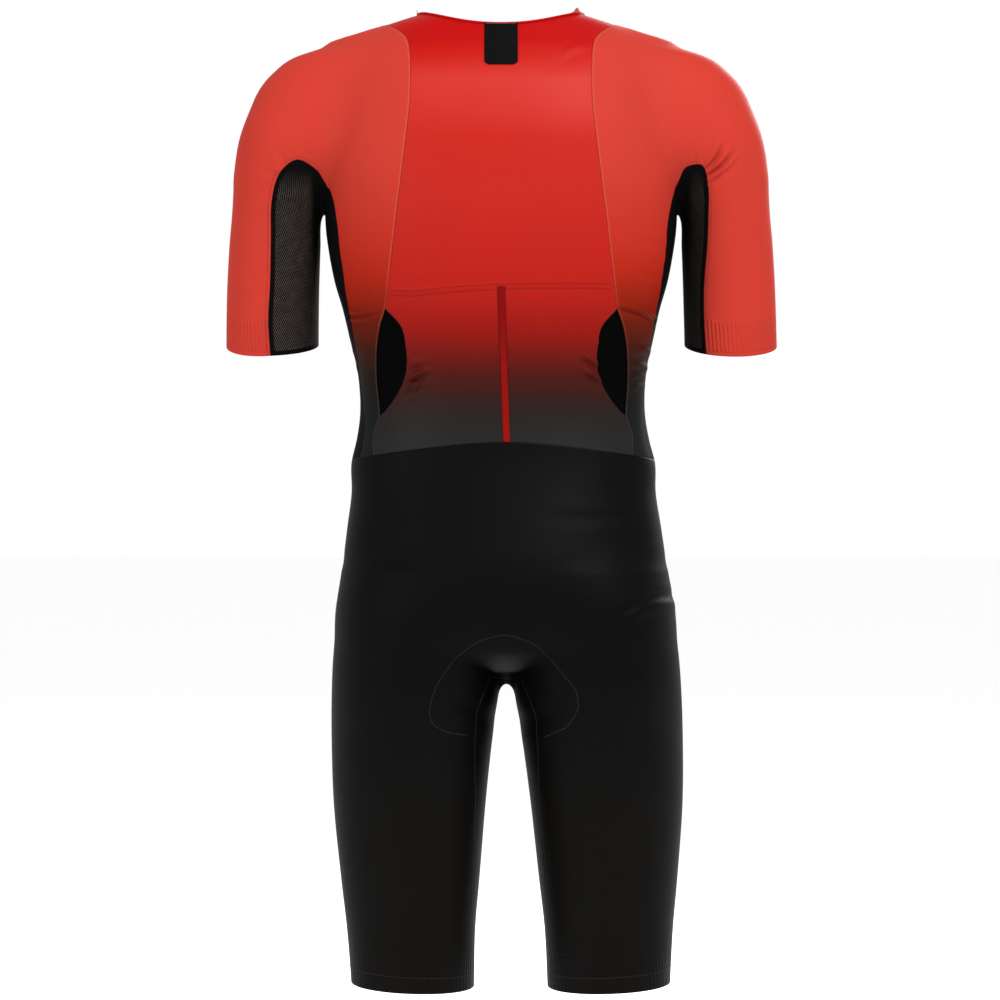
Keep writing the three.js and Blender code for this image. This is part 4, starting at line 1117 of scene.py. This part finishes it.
coarse_back, coarse_front = leg_half(BACK), leg_half(FRONT)
coarse_front[:CROTCH_RUNG, 0] = coarse_back[:CROTCH_RUNG, 0]
coarse_front[:, -1] = coarse_back[:, -1]
leg_back, leg_counts = lengthwise(coarse_back, LEG_STEP)
leg_front, _ = lengthwise(coarse_front, LEG_STEP, leg_counts)
crotch_row = int(leg_counts[:CROTCH_RUNG].sum())
fork_row = int(leg_counts[: CROTCH_RUNG - 1].sum())
leg_front[:, -1] = leg_back[:, -1]
leg_front[: fork_row + 1, 0] = leg_back[: fork_row + 1, 0]
leg_back[crotch_row:, 0, 0] = 0
leg_front[crotch_row:, 0, 0] = 0
leg_back, leg_front = settle(leg_back, 3), settle(leg_front, 3)
leg_sides = {
    "left": {BACK: leg_back, FRONT: leg_front},
    "right": {BACK: opposite(leg_back), FRONT: opposite(leg_front)},
}


def gusset(side):
    """The crotch between the inner legs, below the first row that is open at the middle."""
    back = side[BACK][fork_row : crotch_row + 1, 0]
    front = side[FRONT][fork_row : crotch_row + 1, 0]
    share = np.linspace(0, 1, GUSSET_COLUMNS + 1)[None, :, None]
    grid = back[:, None] * (1 - share) + front[:, None] * share
    grid[1:] = settle(grid[1:])
    grid[:, 0], grid[:, -1] = back, front
    grid[-1, :, 0] = 0
    return grid


def raglan(name, side):
    return arm_sides[name][side][top_row:, -1]


MIDDLE_Y = -6.0
SEAM_ROOT = -60


def behind(x, z, side=BACK):
    """The form's back, or front, at x and z."""
    x, z = np.broadcast_arrays(np.asarray(x, float), np.asarray(z, float))
    start = np.stack([x, np.full(x.shape, MIDDLE_Y), z], -1)
    return reach(start, np.array([0.0, float(side), 0.0]))


share = np.linspace(0, 1, SHOULDER_COLUMNS + 1)[:, None]
seam_left = raglan("left", BACK)[0] * (1 - share) + neckline(np.array([0.0]))[0] * share
seam_left[1:-1, 2] = SEAM_ROOT
seam_left[1:-1] = reach(seam_left[1:-1], np.array([0.0, 0.0, 1.0]))
seam_right = opposite(seam_left)


def back_edge(name):
    line = raglan(name, BACK).copy()
    inside = (line[:, 2] > SCOOP_CURVE[0][0]) & (line[:, 2] < SCOOP_CURVE[-1][0])
    half = np.minimum(scoop.at(line[inside, 2])["half"], np.abs(line[inside, 0]))
    line[inside] = behind(half * (LEFT if name == "left" else RIGHT), line[inside, 2])
    return line


def fallen(edge):
    return (edge[:, 2] - edge[0, 2]) / (edge[-1, 2] - edge[0, 2])


def filled(grid):
    """The grid with more rows below its top one, so that the cloth keeps to the form there."""
    shares = np.linspace(0, 1, TOP_ROWS + 1)[1:-1]
    between = [settle(grid[0] * (1 - share) + grid[1] * share, 5) for share in shares]
    return np.concatenate([grid[:1], between, grid[1:]])


HALF_BACK = SHOULDER_COLUMNS + NECK_COLUMNS
neck_back = neckline(np.linspace(0, 180, 2 * NECK_COLUMNS + 1))
back_top = np.concatenate([seam_left[:-1], neck_back, seam_right[:-1][::-1]])
back_bottom = waist(np.linspace(RAGLAN_AT_WAIST, 180 - RAGLAN_AT_WAIST, 2 * HALF_BACK + 1))
drop = fallen(raglan("left", BACK))
neck_middle = neck_back[NECK_COLUMNS, 2]
back_middle = behind(0 * drop, neck_middle + (WAIST["middle"] - neck_middle) * drop)


def back_rows(left, right):
    halves = [across(left, back_middle, HALF_BACK), across(right, back_middle, HALF_BACK)]
    grid = np.concatenate([halves[0], halves[1][:, -2::-1]], 1)
    grid[0], grid[-1] = back_top, back_bottom
    return grid


back_grid = back_rows(back_edge("left"), back_edge("right"))
whole_back = back_rows(raglan("left", BACK), raglan("right", BACK))

# Body panels
U = COLUMNS["underarm"]
I = COLUMNS["inner"]
for name, side in arm_sides.items():
    under = Cloth(side[BACK][:, : U + 1], side[FRONT][:, : U + 1])
    sleeve = Cloth(side[BACK][:, U:], side[FRONT][:, U:])
    seams = [raglan(name, BACK), raglan(name, FRONT)]
    cloth_piece(f"underarm_mesh_{name}", under, "mesh_knit")
    cloth_piece(f"sleeve_{name}", sleeve, "sleeve_knit", seams=seams)
cloth_piece("back_panel", Cloth(filled(back_grid)), "body_knit")

LINING = {"overlap": 17, "gap": 0.45, "thick": 0.7}
strips = [arm_sides[name][BACK][top_row:, -LINING["overlap"] : -1] for name in ("left", "right")]
lining = np.concatenate([strips[0], whole_back[:, 1:-1], strips[1][:, ::-1]], 1)
lining = Cloth(lining[pocket_row - top_row :])
behind_back = -WALL - LINING["gap"]
cloth_piece(
    "pocket_lining", lining, "lining_knit", behind_back, LINING["thick"]
)

ZIP_EDGE = 4.9
zip_angle = math.degrees(math.asin(ZIP_EDGE / NECK["half"]))
waist_zip = math.degrees(math.atan2(ZIP_EDGE, -waist(np.array([-90.0]))[0][1]))
neck_front = neckline(np.linspace(0, -90 + zip_angle, NECK_COLUMNS + 1))
front_top = np.concatenate([seam_left[:-1], neck_front])
front_bottom = waist(np.linspace(-RAGLAN_AT_WAIST, -90 + waist_zip, len(front_top)))
for name, sign in (("left", LEFT), ("right", RIGHT)):
    edge = raglan(name, FRONT) * [sign, 1, 1]
    high, low = neck_front[-1, 2], front_bottom[-1, 2]
    zip_line = behind(0 * drop + ZIP_EDGE, high + (low - high) * fallen(edge), FRONT)
    grid = across(edge, zip_line, len(front_top) - 1)
    grid[0], grid[-1] = front_top, front_bottom
    panel = Cloth(filled(grid) * [sign, 1, 1])
    cloth_piece(f"front_{name}", panel, "body_knit")

# Shorts
shorts = []
for side in leg_sides.values():
    shorts += [side[BACK][:, I:], side[BACK][crotch_row:, : I + 1]]
cloth_piece("shorts_back", Cloth(*shorts), "shorts_knit")
for name, side in leg_sides.items():
    half = Cloth(side[FRONT][:, I:], side[FRONT][crotch_row:, : I + 1])
    cloth_piece(f"shorts_front_{name}", half, "shorts_knit")
    inner = [side[facing][: crotch_row + 1, : I + 1] for facing in (BACK, FRONT)]
    inner = Cloth(*inner, gusset(side))
    cloth_piece(f"inner_leg_{name}", inner, "shorts_knit")

# Seat pad
PAD_FROM, PAD_TO = int(leg_counts[:8].sum()), int(leg_counts[:13].sum())
PAD_COLUMNS = I + 15
PAD = {"rim": 0.8, "core": 3.2, "soft": 16, "behind": 0.5}
CHANNEL = {"from_edge": 24, "width": 2.2, "from_middle": 22, "inner_width": 2.0, "depth": 0.55}
pad = Cloth()
for side in leg_sides.values():
    for facing in (BACK, FRONT):
        pad.add(side[facing][PAD_FROM : PAD_TO + 1, : PAD_COLUMNS + 1])
    pad.add(gusset(side))
points, quads, marks = pad.gathered()
normals = unit(slope(points))
edge = away_from(points, [points[[a, b]] for a, b in rim_of(whole(quads))])
round_edge = bell((edge - CHANNEL["from_edge"]) / CHANNEL["width"])
down_middle = bell((np.abs(points[:, 0]) - CHANNEL["from_middle"]) / CHANNEL["inner_width"])
channels = np.clip(round_edge + down_middle * smooth(edge, 10, 20), 0, 1)
plump = PAD["core"] * smooth(edge, 0, PAD["soft"])
thick = PAD["rim"] + plump * (1 - CHANNEL["depth"] * channels)
height = folds_of(points, normals) - WALL - PAD["behind"]
mesh = wall_mesh("seat_pad", points + normals * height[:, None], normals, quads, thick, marks, [])
piece("seat_pad", mesh, "pad_foam", ["seat_pad"])

# Pocket tape and label
TAPE = {"half": 3.6, "slant": -3.5, "crown": 0.25, "across": 8.2}
TAPE_Z = np.arange(-264, -415, -2.5)
tape_x = np.linspace(TAPE["half"], -TAPE["half"], 7)
tape_middle = np.linspace(0, TAPE["slant"], len(TAPE_Z))
tape = Cloth(behind(tape_middle[:, None] + tape_x, TAPE_Z[:, None]))


def crowned(marks):
    return TAPE["crown"] * np.sin(math.pi * np.clip(marks[:, 0] / TAPE["across"], 0, 1))


cloth_piece(
    "pocket_tape", tape, "divider_tape", 0.75, 0.6, relief=crowned
)

LABEL = {"half": 16.2, "top": -3.8, "bottom": -48.5, "corner": 4.0}
label_rows = []
for t in np.linspace(0, 1, 19):
    z = LABEL["top"] + (LABEL["bottom"] - LABEL["top"]) * t
    low = max(0.0, LABEL["corner"] - (z - LABEL["bottom"]))
    half = LABEL["half"] - LABEL["corner"] + math.sqrt(max(LABEL["corner"] ** 2 - low**2, 0.01))
    label_rows.append(behind(np.linspace(half, -half, 15), z))
label = Cloth(np.array(label_rows))
cloth_piece("neck_label", label, "label_tape", 0.95, 0.6)

# Neck binding
NUB = {"height": 4.4, "reach": 4.0, "at": (7, 146)}
BINDING = {"start": 0.2, "high": 2.2, "roll": 0.35}
around_neck = np.concatenate([
    np.linspace(-90 + zip_angle, -2, 50),
    np.linspace(-1, 15, 33),
    np.linspace(16, 137, 84),
    np.linspace(138, 154, 33),
    np.linspace(155, 270 - zip_angle, 66),
])
peak = sum(bell((around_neck - middle) / NUB["reach"]) for middle in NUB["at"])
binding_rows = []
for share in np.linspace(0, 1, 6):
    rise = BINDING["start"] + share * (BINDING["high"] + NUB["height"] * peak)
    binding_rows.append(neckline(around_neck) + rise[:, None] * [0.0, 0.0, 1.0])


def rolled(marks):
    return BINDING["roll"] * np.sin(math.pi * np.clip(marks[:, 1] / BINDING["high"], 0, 1))


binding = Cloth(np.array(binding_rows))
cloth_piece(
    "neck_binding", binding, "binding_knit", 0.1, 1.2,
    relief=rolled,
)

# Zip
ZIP = {"half": 4.6, "top": -63.0, "tooth": 1.5, "apart": 0.9, "slant": 14}
zip_z = np.linspace(ZIP["top"], waist(np.array([-90.0]))[0][2], 150)
zip_x = np.linspace(ZIP["half"], -ZIP["half"], 9)
chain = Cloth(behind(zip_x[None, :], zip_z[:, None], FRONT))
cloth_piece("zip_chain", chain, "zip_teeth", -0.3, 0.8)
coils = Thread()
for side in (-1, 1):
    line = behind(side * ZIP["apart"], zip_z, FRONT)
    coils.sew(line, 1.9, ZIP["tooth"], 0.5, ZIP["slant"] * side, 0.0)
coils.made("zip_coils", "zip_teeth", "zip_teeth")

# Stitching
sleeve_line = Thread()
for name in arm_sides:
    for side in (BACK, FRONT):
        sleeve_line.sew(raglan(name, side), 2.3, 2.8, 0.2)
sleeve_line.made("raglan_stitches", "raglan_thread", "sleeve_knit")

pocket_top = Thread()
POCKET_EDGE = [
    (114, -259), (100, -260), (85, -261), (62, -258.5), (30, -256.5), (0, -255), (-60, -253.6),
    (-111, -253.4),
]
edge_x, edge_z = np.array(POCKET_EDGE, float).T
row_x = np.linspace(107, -107, 120)
row_z = np.interp(-row_x, -edge_x, edge_z)
for shift in (-6.5, -11.5):
    pocket_top.sew(behind(row_x, row_z + shift), 2.1, 3.0, 0.32)
for shift in (-2.6, 2.6):
    pocket_top.sew(behind(tape_middle, TAPE_Z), 1.8, 2.8, 0.25, lift=0.95, shift=shift)
pocket_top.made("pocket_stitches", "red_thread", "body_knit")

PAD_OUTLINE = [
    (33, -700), (52, -696), (66, -688), (70, -676), (67, -662), (60, -645), (44, -622), (22, -606),
    (-4, -599), (-32, -608), (-54, -631), (-73, -654), (-75, -673), (-64, -691), (-42, -702),
]
black_lines = Thread()
outline = np.array(PAD_OUTLINE, float)
t = np.linspace(0, len(outline) - 1, 140)
outline = np.stack([np.interp(t, np.arange(len(outline)), outline[:, k]) for k in range(2)], -1)
for _ in range(6):
    outline[1:-1] = (outline[:-2] + outline[1:-1] * 2 + outline[2:]) / 4
upright = outline[:, 0] + LEAN * np.maximum(0, LEAN_FROM - outline[:, 1])
black_lines.sew(behind(upright, outline[:, 1]), 1.7, 2.6, 0.3, 2.4)
for side in leg_sides.values():
    black_lines.sew(side[BACK][: crotch_row + 1, I], 2.4, 3.2, 0.26, shift=2.0)
    hem_row = int(leg_counts[:1].sum()) // 2
    for facing in (BACK, FRONT):
        black_lines.sew(side[facing][hem_row, I:], 2.0, 3.2, 0.24)
for name, side in arm_sides.items():
    shift = 3.0 if name == "left" else -3.0
    black_lines.sew(side[BACK][:top_row, U], 2.0, 3.0, 0.24, shift=shift)
black_lines.made("black_stitches", "black_thread", "shorts_knit")

label_line = Thread()
label_line.sew(behind(np.linspace(15, -15, 20), -5.4), 1.3, 2.1, 0.28, lift=1.1)
label_line.made("label_stitches", "pale_thread", "label_tape")

# Camera, floor and light
LENS, SENSOR = 108, 36
EYE = (0.001, 3.0, -0.470)
FLOOR_Z, FLOOR_SIZE = -1.3, 80
camera = bpy.data.cameras.new("camera")
camera.lens = LENS
camera.sensor_width = SENSOR
eye = bpy.data.objects.new("camera", camera)
eye.location = EYE
eye.rotation_euler = (math.radians(90), 0, math.radians(180))
bpy.context.scene.collection.objects.link(eye)
bpy.context.scene.camera = eye
bpy.context.scene.view_settings.view_transform = "Standard"

bpy.ops.mesh.primitive_plane_add(size=FLOOR_SIZE, location=(0, 0, FLOOR_Z))
floor = bpy.context.object
floor.name = "floor"
Finish("floor_white").set(Base_Color=(0.97, 0.97, 0.97, 1), Roughness=0.9)
floor.data.materials.append(LOOKS["floor_white"])

world = bpy.data.worlds.new("studio")
bpy.context.scene.world = world
world.use_nodes = True
sky = world.node_tree.nodes["Background"]
sky.inputs["Color"].default_value = (1, 1, 1, 1)
sky.inputs["Strength"].default_value = 1.0


def softbox(name, place, aim, size, power):
    lamp = bpy.data.lights.new(name, "AREA")
    lamp.energy = power
    lamp.size = size
    thing = bpy.data.objects.new(name, lamp)
    thing.location = place
    thing.rotation_euler = (Vector(aim) - Vector(place)).to_track_quat("-Z", "Y").to_euler()
    bpy.context.scene.collection.objects.link(thing)


softbox("key", (-1.3, 2.2, 1.9), (0, 0, -0.35), 0.6, 125)
softbox("fill", (2.2, 2.1, 0.3), (0, 0, -0.45), 1.2, 42)
softbox("chest_light", (-1.2, -2.6, 0.9), (0, 0, -0.4), 1.2, 95)
